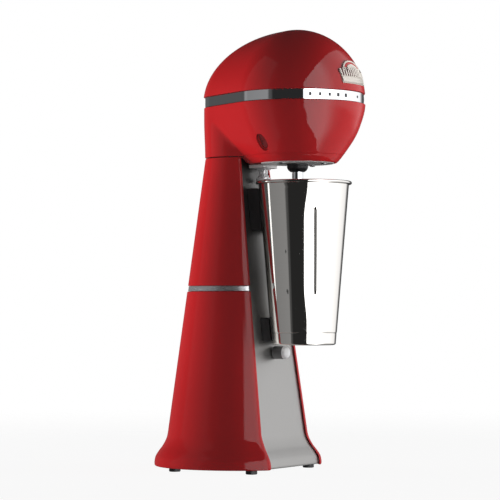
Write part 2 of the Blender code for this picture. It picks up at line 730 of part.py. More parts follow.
def oval(name, low, high, grow, mat, cutter=False, steps=28):
    """An oval column along the switch normal, `low` to `high` from the surface."""
    frame = switch_frame()
    rings = []
    for d in (low, high):
        row = []
        for i in range(steps):
            a = 2 * math.pi * i / steps
            u = (SWITCH_SIZE[0] / 2 + grow) * math.cos(a)
            v = (SWITCH_SIZE[1] / 2 + grow) * math.sin(a)
            row.append(tuple(SWITCH_AT + frame @ Vector((u, v, d))))
        rings.append(row)
    return closed_loft(name, rings, mat, cutter)


def switch_frame():
    out = SWITCH_NORMAL
    across = Vector((0, 0, 1)).cross(out).normalized()
    up = out.cross(across)
    return Matrix((across, up, out)).transposed()


def build_rocker():
    bezel = oval("switch_bezel", -13.0, -1.2, -0.4, "red_enamel")
    cut(bezel, oval("bezel_hole", -9.0, 5.0, -1.8, None, cutter=True))
    frame = switch_frame()
    rings = []
    for d, s in ((-8.0, 0.55), (-4.6, 0.86), (-3.2, 0.90), (-2.2, 0.78)):
        row = []
        for i in range(32):
            a = 2 * math.pi * i / 32
            u = (SWITCH_SIZE[0] / 2 - 2.4) * s * math.cos(a)
            v = (SWITCH_SIZE[1] / 2 - 2.4) * s * math.sin(a)
            dish = 0.9 * (abs(v) / 8) if d > -4 else 0
            row.append(tuple(SWITCH_AT + frame @ Vector((u, v, d + dish))))
        rings.append(row)
    rocker = closed_loft("switch_rocker", rings, "black_plastic")
    pivot = SWITCH_AT + frame @ Vector((0, 0, -5.5))
    parent_to("rocker_pivot", pivot, rocker)


def build_leads():
    lead = [(0, 88.6, 36), (0, 80, 41), (0, 71, 70), (0, 60, 180), (0, 50, 300), (0, 47, 345), (0, 47, 372)]
    lead += [(12, 40, 384), (22, 20, 392), (24, -8, 404)]
    wire("mains_lead", lead, 2.6, "black_plastic")


def main():
    global COLLECTION, CUTTERS
    clear_scene()
    COLLECTION = new_collection("Milkshake mixer")
    CUTTERS = new_collection("Cutters")
    CUTTERS.hide_render = True
    make_materials()
    build_base()
    build_column()
    build_spine()
    build_pads()
    build_head_lower_shell()
    build_head_cover()
    build_band()
    build_badge()
    build_head_base_plate()
    build_boot()
    build_motor()
    build_spindle()
    build_cup()
    build_plunger()
    build_microswitch()
    build_rocker()
    build_leads()


main()
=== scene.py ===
"""Milkshake mixer: the finished surfaces, materials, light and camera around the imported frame.

Lengths are in millimetres up to the point where a mesh or a node takes them in metres.
"""

from math import asin, atan2, cos, exp, hypot, pi, radians, sin, sqrt, tan

import bmesh
import bpy
from mathutils import Matrix, Vector


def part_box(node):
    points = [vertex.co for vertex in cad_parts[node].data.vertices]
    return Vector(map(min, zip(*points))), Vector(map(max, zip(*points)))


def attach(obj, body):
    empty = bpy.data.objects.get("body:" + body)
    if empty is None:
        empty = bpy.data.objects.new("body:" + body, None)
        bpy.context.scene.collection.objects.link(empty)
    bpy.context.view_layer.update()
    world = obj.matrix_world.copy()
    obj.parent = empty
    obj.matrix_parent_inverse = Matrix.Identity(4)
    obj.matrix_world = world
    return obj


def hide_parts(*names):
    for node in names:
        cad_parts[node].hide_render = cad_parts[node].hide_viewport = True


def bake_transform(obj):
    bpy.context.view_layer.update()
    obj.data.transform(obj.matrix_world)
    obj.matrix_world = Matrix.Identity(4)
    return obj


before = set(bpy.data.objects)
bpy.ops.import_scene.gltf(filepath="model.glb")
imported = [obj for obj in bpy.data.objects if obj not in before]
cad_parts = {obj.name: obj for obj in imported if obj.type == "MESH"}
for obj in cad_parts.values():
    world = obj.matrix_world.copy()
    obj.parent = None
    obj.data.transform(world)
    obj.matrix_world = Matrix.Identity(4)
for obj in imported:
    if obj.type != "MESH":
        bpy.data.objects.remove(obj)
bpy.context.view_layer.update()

MM = 0.001


def add_to_scene(name, data):
    obj = bpy.data.objects.new(name, data)
    bpy.context.scene.collection.objects.link(obj)
    return obj


def corners(node):
    """The lowest and the highest corner of a CAD node."""
    return [Vector(corner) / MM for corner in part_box(node)]


def middle(node):
    low, high = corners(node)
    return (low + high) / 2


def heights(node):
    low, high = corners(node)
    return low.z, high.z


# ---- sizes

COVER_LOW, COVER_HIGH = corners("head_cover")
BALL_Y = middle("motor_shaft").y
BALL_R = COVER_HIGH.x
EQUATOR_Z = 420.0
DOME_POWER = 1.96
TOP_Z, COVER_Z = COVER_HIGH.z, COVER_LOW.z
BAND_Z = heights("head_band")
BOWL_TOP = heights("head_lower_shell")[1]
NECK_SEAM = 356.3
NECK_R = 39.5
NECK_BACK = COVER_HIGH.y - BALL_Y - NECK_R - 0.6
COLUMN_Y = BALL_Y + NECK_BACK
SHELL = 2.5
SKIN = 0.16  # how far the column's faces stay inside the CAD box

# Height and radius of the bowl.
BOWL = [
    (348.0, 44.0), (350.0, 46.2), (358.5, 53.0), (365.3, 57.8), (372.0, 62.3), (379.0, 66.3),
    (386.0, 69.5), (393.0, 72.0), (400.0, 74.3), (407.0, 76.0), (413.8, 76.9),
]
# Height, how far the bowl is drawn out towards the neck, and how wide that end is, as shares of the neck.
CHIN = [
    (347.0, 0.37, 0.74), (356.3, 0.53, 0.79), (360.0, 0.59, 0.82), (372.0, 0.76, 0.90),
    (382.0, 0.88, 0.95), (390.0, 0.95, 0.98), (398.0, 1.0, 1.0), (420.0, 1.0, 1.0),
]
# Height, radius of the column's back, and how far its front is behind the ball's axis.
CONE_TOP = (355.2, 38.0, 57.3)
CONE_FOOT = (42.0, 81.0, 17.6)
FLARE = [
    (37.0, 82.1, 16.2), (32.0, 84.2, 14.0), (26.5, 87.4, 11.0), (20.8, 91.6, 7.0), (15.2, 95.0, 3.7),
    (11.0, 96.0, 2.6), (5.6, 96.1, 2.4), (4.6, 95.6, 3.1),
]
CATCH_Y = middle("rim_catch").y
CATCH_HOLE = 7.2
SWITCH_AT = Vector((-57.9, BALL_Y + 11.5, 368.9))
SWITCH_OUT = Vector((-0.808, 0.160, -0.568)).normalized()
SWITCH_SIZE = (14.0, 22.0)

# The camera stands level with the middle of the column, to the front of the left side.
VIEW_AZIMUTH = radians(60.0)
AWAY = Vector((sin(VIEW_AZIMUTH), cos(VIEW_AZIMUTH), 0))
RIGHT = Vector((cos(VIEW_AZIMUTH), -sin(VIEW_AZIMUTH), 0))


def seen_at(degrees):
    """The level direction this far to the right of the one that points at the camera."""
    a = radians(degrees)
    return RIGHT * sin(a) - AWAY * cos(a)


# ---- node helpers


class Nodes:
    """A short way to write node trees."""

    def __init__(self, tree):
        self.tree = tree
        tree.nodes.clear()

    def add(self, kind, inputs=None, **settings):
        node = self.tree.nodes.new(kind)
        for key, value in settings.items():
            setattr(node, key, value)
        for key, value in (inputs or {}).items():
            self.plug(value, node.inputs[key])
        return node

    def plug(self, value, socket):
        if isinstance(value, bpy.types.NodeSocket):
            self.tree.links.new(value, socket)
        else:
            socket.default_value = value

    def math(self, operation, a, b=0.0):
        return self.add("ShaderNodeMath", {0: a, 1: b}, operation=operation).outputs[0]

    def times(self, a, b):
        return self.math("MULTIPLY", a, b)

    def plus(self, a, b):
        return self.math("ADD", a, b)

    def minus(self, a, b):
        return self.math("SUBTRACT", a, b)

    def ramp(self, value, low, high, to_low=0.0, to_high=1.0, smooth=True):
        limits = {0: value, 1: low, 2: high, 3: to_low, 4: to_high}
        kind = "SMOOTHSTEP" if smooth else "LINEAR"
        return self.add("ShaderNodeMapRange", limits, interpolation_type=kind).outputs[0]

    def mix(self, factor, a, b):
        a, b = ((*colour, 1) if isinstance(colour, tuple) else colour for colour in (a, b))
        node = self.add("ShaderNodeMix", data_type="RGBA")
        for key, value in ((0, factor), (6, a), (7, b)):
            self.plug(value, node.inputs[key])
        return node.outputs[2]

    def point(self, scale=(1, 1, 1)):
        where = self.add("ShaderNodeTexCoord").outputs["Object"]
        return self.add("ShaderNodeMapping", {0: where, "Scale": scale}).outputs[0]

    def axes(self, vector):
        return self.add("ShaderNodeSeparateXYZ", {0: vector}).outputs

    def noise(self, scale, detail=3.0, vector=None, rough=0.5):
        where = self.point() if vector is None else vector
        inputs = {"Vector": where, "Scale": scale, "Detail": detail, "Roughness": rough}
        return self.add("ShaderNodeTexNoise", inputs).outputs[0]

    def bump(self, height, strength, distance):
        inputs = {"Height": height, "Strength": strength, "Distance": distance}
        return self.add("ShaderNodeBump", inputs).outputs[0]


# ---- materials


def surface(name, build):
    """A material whose shader takes what `build` returns."""
    mat = bpy.data.materials.new(name)
    mat.use_nodes = True
    n = Nodes(mat.node_tree)
    shader = n.add("ShaderNodeBsdfPrincipled", build(n))
    n.add("ShaderNodeOutputMaterial", {0: shader.outputs[0]})
    return mat


def lacquer(name, deep, bright, coat):
    """Sprayed paint: faintly uneven colour under a clear coat with orange peel, and a faint painted glow that
    stands in for light in its darkest shade.
    """
    def build(n):
        blotch, haze, peel = n.noise(6.0, 2.0), n.noise(55.0, 4.0), n.noise(260.0, 2.0)
        return {
            "Base Color": n.mix(n.ramp(blotch, 0.3, 0.7), deep, bright),
            "Roughness": 0.42,
            "Specular IOR Level": 0.03,
            "Coat Weight": coat,
            "Coat Roughness": n.ramp(haze, 0.3, 0.8, 0.018, 0.05),
            "Coat IOR": 1.46,
            "Coat Normal": n.bump(peel, 0.06, 0.0006),
            # Painted glow: a faint emission that lifts the paint's darkest shade in place of light.
            "Emission Strength": 0.007,
        }
    return surface(name, build)


def metal(name, colour, rough, stretch=(1, 1, 1), grain=300.0, depth=0.05, tint=0.06, metallic=1.0,
          painted_shade=(), bars=False):
    """Bare metal. `stretch` draws the grain into brush lines and `tint` darkens them. Each row of the painted
    shade is two heights and the share of its colour that the metal keeps above them."""
    def build(n):
        marks, smear = n.noise(grain, 5.0, n.point(stretch), 0.65), n.noise(14.0, 3.0)
        tone = n.mix(marks, tuple(c * (1 - tint) for c in colour), colour)
        # Painted shade: above each pair of heights the colour falls to a share of itself.
        for low, high, share in painted_shade:
            height = n.axes(n.point())[2]
            tone = n.mix(n.ramp(height, low, high), tone, tuple(c * share for c in colour))
        if bars:
            tone = n.mix(badge_bars(n), tone, (0.05, 0.012, 0.012))
        mixed = n.plus(n.times(smear, 0.6), n.times(marks, 0.4))
        return {
            "Base Color": tone,
            "Metallic": metallic,
            "Roughness": n.ramp(mixed, 0.3, 0.7, *rough),
            "Normal": n.bump(marks, depth, 0.0002),
        }
    return surface(name, build)


FLUTE_PITCH = 3.9
FLUTE_Z = (441.4, 451.4)


def badge_bars(n):
    """Dark paint left between the upright flutes of the badge."""
    x, _, z = n.axes(n.point())
    wave = n.math("COSINE", n.times(x, 2 * pi / (FLUTE_PITCH * MM)))
    low, high = FLUTE_Z
    above = n.ramp(z, (low + 0.3) * MM, (low + 0.9) * MM)
    below = n.ramp(z, (high - 0.2) * MM, (high - 0.8) * MM)
    return n.times(n.ramp(wave, 0.1, -0.35), n.times(above, below))


def moulded(name, colour, rough, grain=900.0, depth=0.25, coat=0.0):
    """Plastic, rubber or cast iron with a fine grain."""
    def build(n):
        fine, broad = n.noise(grain, 3.0), n.noise(18.0, 3.0)
        lighter = tuple(min(1.0, c * 1.35 + 0.004) for c in colour)
        return {
            "Base Color": n.mix(n.ramp(broad, 0.3, 0.75), colour, lighter),
            "Roughness": n.ramp(fine, 0.3, 0.7, rough - 0.08, rough + 0.08),
            "Coat Weight": coat,
            "Normal": n.bump(fine, depth, 0.0002),
        }
    return surface(name, build)


def windings(name, colour):
    """Enamelled wire laid turn on turn."""
    def build(n):
        inputs = {"Vector": n.point(), "Scale": 420.0, "Distortion": 1.2}
        turns = n.add("ShaderNodeTexWave", inputs, wave_type="BANDS", bands_direction="Z").outputs[1]
        return {
            "Base Color": n.mix(turns, tuple(c * 0.45 for c in colour), colour),
            "Metallic": 0.8,
            "Roughness": 0.35,
            "Normal": n.bump(turns, 0.6, 0.0006),
        }
    return surface(name, build)


RED = lacquer("red_lacquer", (0.59, 0.009, 0.012), (0.63, 0.010, 0.014), 0.6)
COLUMN_RED = lacquer("red_column_lacquer", (0.60, 0.010, 0.013), (0.64, 0.011, 0.015), 0.36)
# A darker copy of the red for the switch's rocker: painted shade of its recess.
RECESS_SHADED_RED = lacquer("red_plastic_painted_shade", (0.17, 0.007, 0.009), (0.20, 0.009, 0.011), 0.6)
CUP_STEEL = metal("mirror_steel", (0.74, 0.72, 0.685), (0.035, 0.075), (1, 1, 7), 90.0,
                  0.02)
CHROME = metal("chrome_plate", (0.78, 0.79, 0.80), (0.03, 0.06), grain=200.0, depth=0.01, tint=0.03)
COLLAR = metal("collar_steel", (0.92, 0.92, 0.93), (0.16, 0.26), (1, 1, 9), 260.0, 0.06,
               tint=0.04, metallic=0.2)
TRIM = metal("trim_steel", (0.50, 0.51, 0.52), (0.24, 0.32), (1, 1, 14), 160.0, 0.08,
             metallic=0.55)
# Painted shade on the steel front: darker from behind the upper cup upwards, darkest between the cup's rim
# and the head.
PANEL = metal("brushed_panel", (0.31, 0.305, 0.296), (0.34, 0.42), (1, 30, 1.2), 130.0, 0.10,
              painted_shade=((0.185, 0.225, 0.62), (0.314, 0.334, 0.30)))
PLATE = metal("brushed_plate", (0.90, 0.89, 0.88), (0.24, 0.32), (2, 24, 1), 150.0, 0.10,
              metallic=0.15)
CAST = metal("cast_badge_metal", (0.74, 0.69, 0.62), (0.28, 0.40), grain=500.0, depth=0.25,
             metallic=0.35, bars=True)
ZINC = metal("zinc_plated", (0.55, 0.56, 0.57), (0.30, 0.42), grain=240.0, depth=0.20, tint=0.2)
SPRING = metal("spring_wire", (0.45, 0.45, 0.46), (0.22, 0.32), grain=700.0, depth=0.15,
               tint=0.15)
LAMINATED = metal("laminated_steel", (0.26, 0.26, 0.27), (0.40, 0.52), (1, 1, 60), 60.0, 0.9, tint=0.5)
BRONZE = metal("sintered_bronze", (0.52, 0.33, 0.14), (0.34, 0.48), grain=900.0, depth=0.4,
               tint=0.25)
COPPER = windings("enamelled_copper", (0.55, 0.22, 0.08))
IRON = moulded("cast_iron_skin", (0.045, 0.046, 0.05), 0.72, 420.0, 0.9)
RUBBER = moulded("black_rubber", (0.011, 0.011, 0.012), 0.52, 700.0, 0.35)
BLACK = moulded("black_plastic", (0.016, 0.016, 0.017), 0.38, 1100.0, 0.2)
CARBON = moulded("pressed_carbon", (0.012, 0.012, 0.012), 0.85, 1500.0, 0.6)
NYLON = moulded("natural_nylon", (0.62, 0.60, 0.55), 0.42, 900.0, 0.15)
GREY_NYLON = moulded("grey_pin", (0.09, 0.09, 0.092), 0.36, 900.0, 0.12)
PALE_TIP = moulded("pale_pin_tip", (0.90, 0.90, 0.92), 0.22, 900.0, 0.06, coat=0.5)
INK = moulded("dark_inlay", (0.02, 0.02, 0.022), 0.5, 1200.0, 0.2)


# ---- mesh helpers

ON_AXIS = 1e-5


def add_object(name, verts, faces):
    """A new mesh object, with doubles merged and its faces pointing out."""
    data = bpy.data.meshes.new(name)
    data.from_pydata([Vector(v) * MM for v in verts], [], faces)
    bm = bmesh.new()
    bm.from_mesh(data)
    bmesh.ops.remove_doubles(bm, verts=bm.verts, dist=1e-6)
    bmesh.ops.recalc_face_normals(bm, faces=bm.faces)
    bm.to_mesh(data)
    bm.free()
    return add_to_scene(name, data)


def piece(name, node, verts, faces, mat, body="stand", slot=None, smooth=True, angle=35):
    """A finished piece on a body, standing for a CAD node unless `node` is None."""
    obj = add_object(name, verts, faces)
    obj.data.materials.append(mat)
    if smooth:
        obj.data.shade_smooth()
        obj.data.set_sharp_from_angle(angle=radians(angle))
        modifier = obj.modifiers.new("Normals", "WEIGHTED_NORMAL")
        modifier.keep_sharp = True
        modifier.weight = 80
    if body:
        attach(obj, body)
    if node:
        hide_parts(node)
    return obj


def grid_faces(rows, n, base=0):
    """Quads over a grid of points, `n` in a row."""
    faces = []
    for k in range(rows - 1):
        for a in range(base + k * n, base + (k + 1) * n - 1):
            faces.append((a, a + 1, a + n + 1, a + n))
    return faces


def skin(loops, closed=False, ends=False):
    """Points and faces over loops joined in order; a loop of one point is a pole. `closed` joins the last
    loop to the first, and `ends` puts a face over each."""
    verts, rings = [], []
    for loop in loops:
        rings.append(range(len(verts), len(verts) + len(loop)))
        verts += loop
    faces = []
    for one, two in zip(rings, rings[1:] + (rings[:1] if closed else [])):
        for i in range(max(len(one), len(two))):
            corner = [ring[k % len(ring)] for ring, k in ((one, i), (one, i + 1), (two, i + 1), (two, i))]
            distinct = tuple(dict.fromkeys(corner))
            if len(distinct) > 2:
                faces.append(distinct)
    if ends:
        faces += [tuple(rings[0]), tuple(rings[-1])]
    return verts, faces


def plate_of(front, back):
    """Points and faces of a plate between two grids of points."""
    n, rows = len(front[0]), len(front)
    verts = [p for row in front + back for p in row]
    base = rows * n
    faces = grid_faces(rows, n) + grid_faces(rows, n, base)
    for a in [k * n + i for k in range(rows - 1) for i in (0, n - 1)]:
        faces.append((a, a + n, base + a + n, base + a))
    for a in [k * n + i for k in (0, rows - 1) for i in range(n - 1)]:
        faces.append((a, a + 1, base + a + 1, base + a))
    return verts, faces


def soften(points, radius, steps=4, closed=False):
    """Rounds the corners of a polyline of (point, radius); where the radius is None it is the common one."""
    result = []
    count = len(points)
    for k, (point, own) in enumerate(points):
        p = Vector(point)
        if not closed and k in (0, count - 1):
            result.append(p)
            continue
        a, b = Vector(points[k - 1][0]) - p, Vector(points[(k + 1) % count][0]) - p
        r = min(radius if own is None else own, a.length * 0.45, b.length * 0.45)
        if r < 1e-4:
            result.append(p)
            continue
        start, stop = p + a.normalized() * r, p + b.normalized() * r
        for i in range(steps + 1):
            t = i / steps
            result.append((1 - t) ** 2 * start + 2 * t * (1 - t) * p + t * t * stop)
    return result


def marked(points):
    """(r, z) or (r, z, corner radius) in the form that soften takes."""
    return [((p[0], p[1]), p[2] if len(p) > 2 else None) for p in points]


def lifted(z, profile):
    """The profile with its heights counted from z."""
    return [(p[0], z + p[1], *p[2:]) for p in profile]


def whole_turn(steps):
    return [2 * pi * i / steps for i in range(steps)]


def turned(points, angles, bend=None):
    """Loops of points (r, z) turned about the Z axis. A point on the axis gives a pole."""
    loops = []
    for r, z in points:
        loop = [(r * cos(a), r * sin(a), z) for a in (angles if r > ON_AXIS else angles[:1])]
        loops.append([bend(*p) for p in loop] if bend else loop)
    return loops


def lathe(name, node, profile, at, mat, body="stand", slot=None, axis=(0, 0, 1), steps=96, radius=0.4,
          bend=None):
    """A rounded profile turned about an axis. It starts and ends on the axis, or else closes on itself."""
    hollow = profile[0][0] > ON_AXIS
    points = soften(marked(profile), radius, closed=hollow)
    turn = Vector(axis).to_track_quat("Z", "Y").to_matrix()
    upright = turned(points, whole_turn(steps), bend)
    loops = [[turn @ Vector(p) + Vector(at) for p in loop] for loop in upright]
    return piece(name, node, *skin(loops, closed=hollow), mat, body, slot)


def smooth_step(t):
    t = min(max(t, 0.0), 1.0)
    return t * t * (3 - 2 * t)


def bell(distance, width):
    return exp(-(distance / width) ** 2)


def curve_at(table, z, column):
    """Smooth value of a table, whose rows start with a height, at a height."""
    rows = sorted(table)
    if z <= rows[0][0]:
        return rows[0][column]
    if z >= rows[-1][0]:
        return rows[-1][column]
    k = max(i for i, row in enumerate(rows) if row[0] < z)
    z0, z1 = rows[k][0], rows[k + 1][0]
    v0, v1 = rows[k][column], rows[k + 1][column]
    slope = (v1 - v0) / (z1 - z0)
    before = (v0 - rows[k - 1][column]) / (z0 - rows[k - 1][0]) if k else slope
    after = (rows[k + 2][column] - v1) / (rows[k + 2][0] - z1) if k + 2 < len(rows) else slope
    m0, m1 = (slope + before) / 2 * (z1 - z0), (slope + after) / 2 * (z1 - z0)
    t = (z - z0) / (z1 - z0)
    h = t * t
    ease = 3 * h - 2 * h * t
    return v0 + ease * (v1 - v0) + (h * t - 2 * h + t) * m0 + (h * t - h) * m1


def subtract(obj, cutter):
    """Cuts one object with another and drops the cutter."""
    cut = obj.modifiers.new("cut", "BOOLEAN")
    cut.object, cut.operation, cut.solver = cutter, "DIFFERENCE", "EXACT"
    graph = bpy.context.evaluated_depsgraph_get()
    normals = [m for m in obj.modifiers if m.type == "WEIGHTED_NORMAL"]
    for m in normals:
        m.show_viewport = False
    graph.update()
    data = bpy.data.meshes.new_from_object(obj.evaluated_get(graph))
    obj.modifiers.remove(cut)
    obj.data = data
    for m in normals:
        m.show_viewport = True
    bpy.data.objects.remove(cutter, do_unlink=True)


def notch(obj, low, high, round_edge):
    """Cuts a rounded rectangular hole."""
    low, high = Vector(low) * MM, Vector(high) * MM
    bpy.ops.mesh.primitive_cube_add(size=1, location=(low + high) / 2)
    cutter = bpy.context.object
    cutter.scale = high - low
    bpy.ops.object.transform_apply(location=False, rotation=False, scale=True)
    bevel = cutter.modifiers.new("b", "BEVEL")
    bevel.width, bevel.segments = round_edge * MM, 4
    subtract(obj, cutter)


def drill(obj, x, y, r, low, high):
    """Cuts an upright round hole."""
    bpy.ops.mesh.primitive_cylinder_add(
        vertices=48, radius=r * MM, depth=(high - low) * MM, location=(x * MM, y * MM, (low + high) / 2 * MM))
    subtract(obj, bpy.context.object)


# ---- column

ARC = 110  # steps round the wall of a shell
FLAT_FROM = radians(35.0)


def column_at(z):
    """Radius of the back and Y of the front at a height, smooth through the flare."""
    def cone(height, k):
        t = (CONE_TOP[0] - height) / (CONE_TOP[0] - CONE_FOOT[0])
        return CONE_TOP[k] + t * (CONE_FOOT[k] - CONE_TOP[k])

    if z >= CONE_FOOT[0] + 6:
        return cone(z, 1), BALL_Y + cone(z, 2)
    table = FLARE + [CONE_FOOT] + [(height, cone(height, 1), cone(height, 2)) for height in (48.0, 56.0)]
    return curve_at(table, z, 1), BALL_Y + curve_at(table, z, 2)


def wall_arc(r, start, stop, z):
    angles = [start + (stop - start) * i / ARC for i in range(ARC + 1)]
    return [Vector((r * cos(a), COLUMN_Y + r * sin(a), z)) for a in angles]


def shell_loop(z, inset, thick, front):
    """Plan of a column shell: a round back that runs out flat to soft front edges."""
    r, f = column_at(z)
    r, f = r - inset, f + front
    start = asin((COLUMN_Y - f) / r)
    turn_off = max(start - radians(9.0), min(start - radians(2.0), FLAT_FROM))
    c, s = cos(turn_off), sin(turn_off)
    run = (COLUMN_Y - r * s - f) / c
    tip = Vector((r * c - run * s, f, z))
    outer = wall_arc(r, pi + turn_off, -turn_off, z)
    inner_start = asin((COLUMN_Y - f) / (r - thick))
    inner = wall_arc(r - thick, -inner_start, pi + inner_start, z)
    right = wall_end(outer[-1], tip, inner[0], inner[1])
    left = [p * Vector((-1, 1, 1)) for p in right[::-1]]
    return outer[1:-1] + right + inner[1:-1] + left


def wall_end(leave, tip, back, inside):
    """Soft outer corner and small inner corner at the front edge of a shell."""
    long_leg = (leave - tip).normalized() * min(5.5, (leave - tip).length * 0.9)
    short_leg = (back - tip) * 0.45
    points = [leave]
    for i in range(9):
        t = i / 8
        points.append(tip + long_leg * (1 - t) ** 2 + short_leg * t * t)
    points += soften([(points[-1], 0.0), (back, 0.7), (inside, 0.0)], 0.7)[1:-1]
    return points


def shell_levels(low, high):
    """Heights of the loops: close together at the ends and through the flare."""
    levels = [low, low + 0.25, low + 0.7]
    z = low + 2.0
    while z < min(high - 1, 60.0):
        levels.append(z)
        z += 1.6
    while z < high - 6:
        levels.append(z)
        z += 12.0
    return levels + [high - 0.7, high - 0.25, high]


def column_shell(name, node, low, high, mat=COLUMN_RED, inset=SKIN, thick=SHELL, front=0.0):
    loops = []
    for z in shell_levels(low, high):
        tuck = 0.9 * (max(0.0, 0.7 - (z - low)) ** 2 + max(0.0, 0.7 - (high - z)) ** 2)
        loops.append(shell_loop(z, inset + tuck, thick - tuck * 1.5, front + tuck))
    verts, faces = skin(loops)
    n = len(loops[0])
    faces += cap_wall(0, n) + cap_wall(len(verts) - n, n)
    return piece(name, node, verts, faces, mat, angle=40)


def cap_wall(base, n):
    """Closes the end of a wall loop with quads between its two sides, and one face at each rounded end."""
    side = ARC - 1
    corner = (n - 2 * side) // 2
    loop = list(range(base, base + n))
    outer, right = loop[:side], loop[side:side + corner]
    inner, left = loop[side + corner:2 * side + corner], loop[2 * side + corner:]
    across = inner[::-1]
    faces = [(outer[i], outer[i + 1], across[i + 1], across[i]) for i in range(side - 1)]
    faces.append((outer[-1], *right, inner[0]))
    faces.append((inner[-1], *left, outer[0]))
    return faces


def build_column():
    lower = column_shell("lower_shell", "column_lower_shell", FLARE[-1][0], heights("column_lower_shell")[1])
    notch(lower, (-11.3, 88, 28.3), (11.3, 140, 43.7), 2.0)
    column_shell("upper_shell", "column_upper_shell", *heights("column_upper_shell"))
    column_shell("trim_strip", "column_trim", *heights("column_trim"), TRIM, inset=1.1, thick=1.1, front=0.6)
    build_panel()


def build_panel():
    """The flat steel front, set between the shells' edges, with eased edges of its own."""
    low, high, across = 5.4, 354.8, 24
    levels = [low, low + 0.3, low + 1.0] + [8 + 1.5 * i for i in range(30)]
    levels += [60 + 14 * i for i in range(21)] + [high - 0.8, high - 0.2, high]
    sides = []
    for depth, eased in ((2.0, 1.0), (3.5, 0.0)):
        rows = []
        for z in levels:
            r, f = column_at(z)
            half = sqrt((r - SHELL) ** 2 - (COLUMN_Y - f - depth) ** 2) - 0.25
            ease = 0.4 * max(0.0, 1 - min(z - low, high - z)) ** 2
            row = []
            for i in range(across + 1):
                x = half * (2 * i / across - 1)
                edge = 0.5 * max(0.0, 1 - (half - abs(x)) / 1.2) ** 2
                row.append((x, f + depth + eased * (ease + edge), z))
            rows.append(row)
        sides.append(rows)
    piece("steel_front", "front_panel", *plate_of(*sides), PANEL, angle=50)


# ---- head

SECTORS = 300
ROUND = [pi * (2 * i / SECTORS - 1) for i in range(SECTORS)]


def ring_of(reach, z):
    """A level loop round the ball's axis. `reach` gives the distance at an angle, which is 0 at the back."""
    return [(reach(a) * sin(a), BALL_Y + reach(a) * cos(a), z) for a in ROUND]


def hull_reach(phi, ball, r, back):
    """Outline stretched round two circles: the ball, and one of radius `r` that is `back` behind it."""
    phi = abs(phi)
    lean = asin((ball - r) / back)
    first = pi / 2 - lean
    second = atan2(r * cos(lean), back + r * sin(lean))
    if phi >= first:
        return ball
    if phi <= second:
        return back * cos(phi) + sqrt(max(r * r - (back * sin(phi)) ** 2, 0.0))
    return ball / (sin(phi) * cos(lean) + cos(phi) * sin(lean))


def soft_max(a, b, k):
    if k <= 0:
        return max(a, b)
    h = max(k - abs(a - b), 0.0) / k
    return max(a, b) + h * h * k * 0.25


def chin_reach(z, thick=0.0):
    """The bowl under the band: a circle drawn out towards the neck, further the higher it is."""
    ball = curve_at(BOWL, z, 1) - thick
    back = NECK_BACK * min(1.0, curve_at(CHIN, z, 1))
    radius = (NECK_R - thick) * min(1.0, curve_at(CHIN, z, 2))
    return lambda phi: hull_reach(phi, ball, radius, back)


def lower_reach(z, thick=0.0):
    """The bowl with the round neck behind it, and a crease between them that fades out towards the band."""
    chin = chin_reach(z, thick)
    neck = NECK_R - 1.2 * smooth_step((400 - z) / 44) - thick
    soft = 2.5 * smooth_step((392 - z) / 20)

    def reach(phi):
        across = abs(sin(phi)) * NECK_BACK
        if across >= neck or cos(phi) <= 0:
            return chin(phi)
        return soft_max(chin(phi), NECK_BACK * cos(phi) + sqrt(neck ** 2 - across ** 2), soft)

    return reach


def build_lower_head():
    """One shell: the edge under the band, the wall, the bottom of neck and bowl, and the lining."""
    loops = [ring_of(lower_reach(BOWL_TOP - down, thick), BOWL_TOP - down)
             for down, thick in ((0.0, 2.2), (0.0, 0.5), (0.15, 0.15), (0.5, 0.0))]
    z = BOWL_TOP - 2.5
    while z > NECK_SEAM + 1.6:
        loops.append(ring_of(lower_reach(z), z))
        z -= 2.4
    for up, thick in ((0.8, 0.0), (0.25, 0.12), (0.0, 0.6)):
        loops.append(ring_of(lower_reach(NECK_SEAM + up, thick), NECK_SEAM + up))
    for z, thick in ((NECK_SEAM, 0.0), (354.5, 0.0), (352.5, 0.0), (350.5, 0.0), (349.2, 0.0),
                     (348.5, 0.1), (348.1, 0.5), (348.0, 1.0), (348.0, 1.9)):
        loops.append(ring_of(chin_reach(z, thick), z))
    opening, floor = 42.0, NECK_SEAM + SHELL
    for radius, z in ((opening, 348.3), (opening, 351.0), (curve_at(BOWL, floor, 1) - SHELL, floor)):
        loops.append(ring_of(lambda phi, r=radius: r, z))
    for z in (floor + 0.1, 365, 372, 380, 390, 400, 408, BOWL_TOP - 0.4):
        loops.append(ring_of(lower_reach(z, SHELL), z))
    shell = piece("head_bowl", "head_lower_shell", *skin(loops, closed=True), RED, angle=50)
    recess = [oval_loop(-20, 0.0), oval_loop(14, 0.0)]
    subtract(shell, add_object("oval", *skin(recess, ends=True)))
    catch, cable, bolts = (0, CATCH_Y, CATCH_HOLE), (0, 47.0, 6.5), ((-15, 32.0, 2.9), (15, 32.0, 2.9))
    for x, y, r in (catch, cable, *bolts):
        drill(shell, x, y, r, 340, 366)


def dome_reach(phi, v, thick=0.0):
    """Reach of the dome at height `v` over its equator."""
    top = TOP_Z - EQUATOR_Z - thick
    plan = hull_reach(phi, BALL_R - thick, NECK_R + 0.8 - thick, NECK_BACK)
    return plan * max(0.0, 1 - (max(v, 0.0) / top) ** DOME_POWER) ** (1 / DOME_POWER)


def dome_rings(rows, start, thick=0.0):
    """Loops from height `start` over the equator, closer together towards the top."""
    top = TOP_Z - EQUATOR_Z
    levels = [start + (top - thick - start) * sin(pi / 2 * k / rows) for k in range(rows)]
    return [ring_of(lambda a, v=v: dome_reach(a, v, thick), EQUATOR_Z + v) for v in levels]


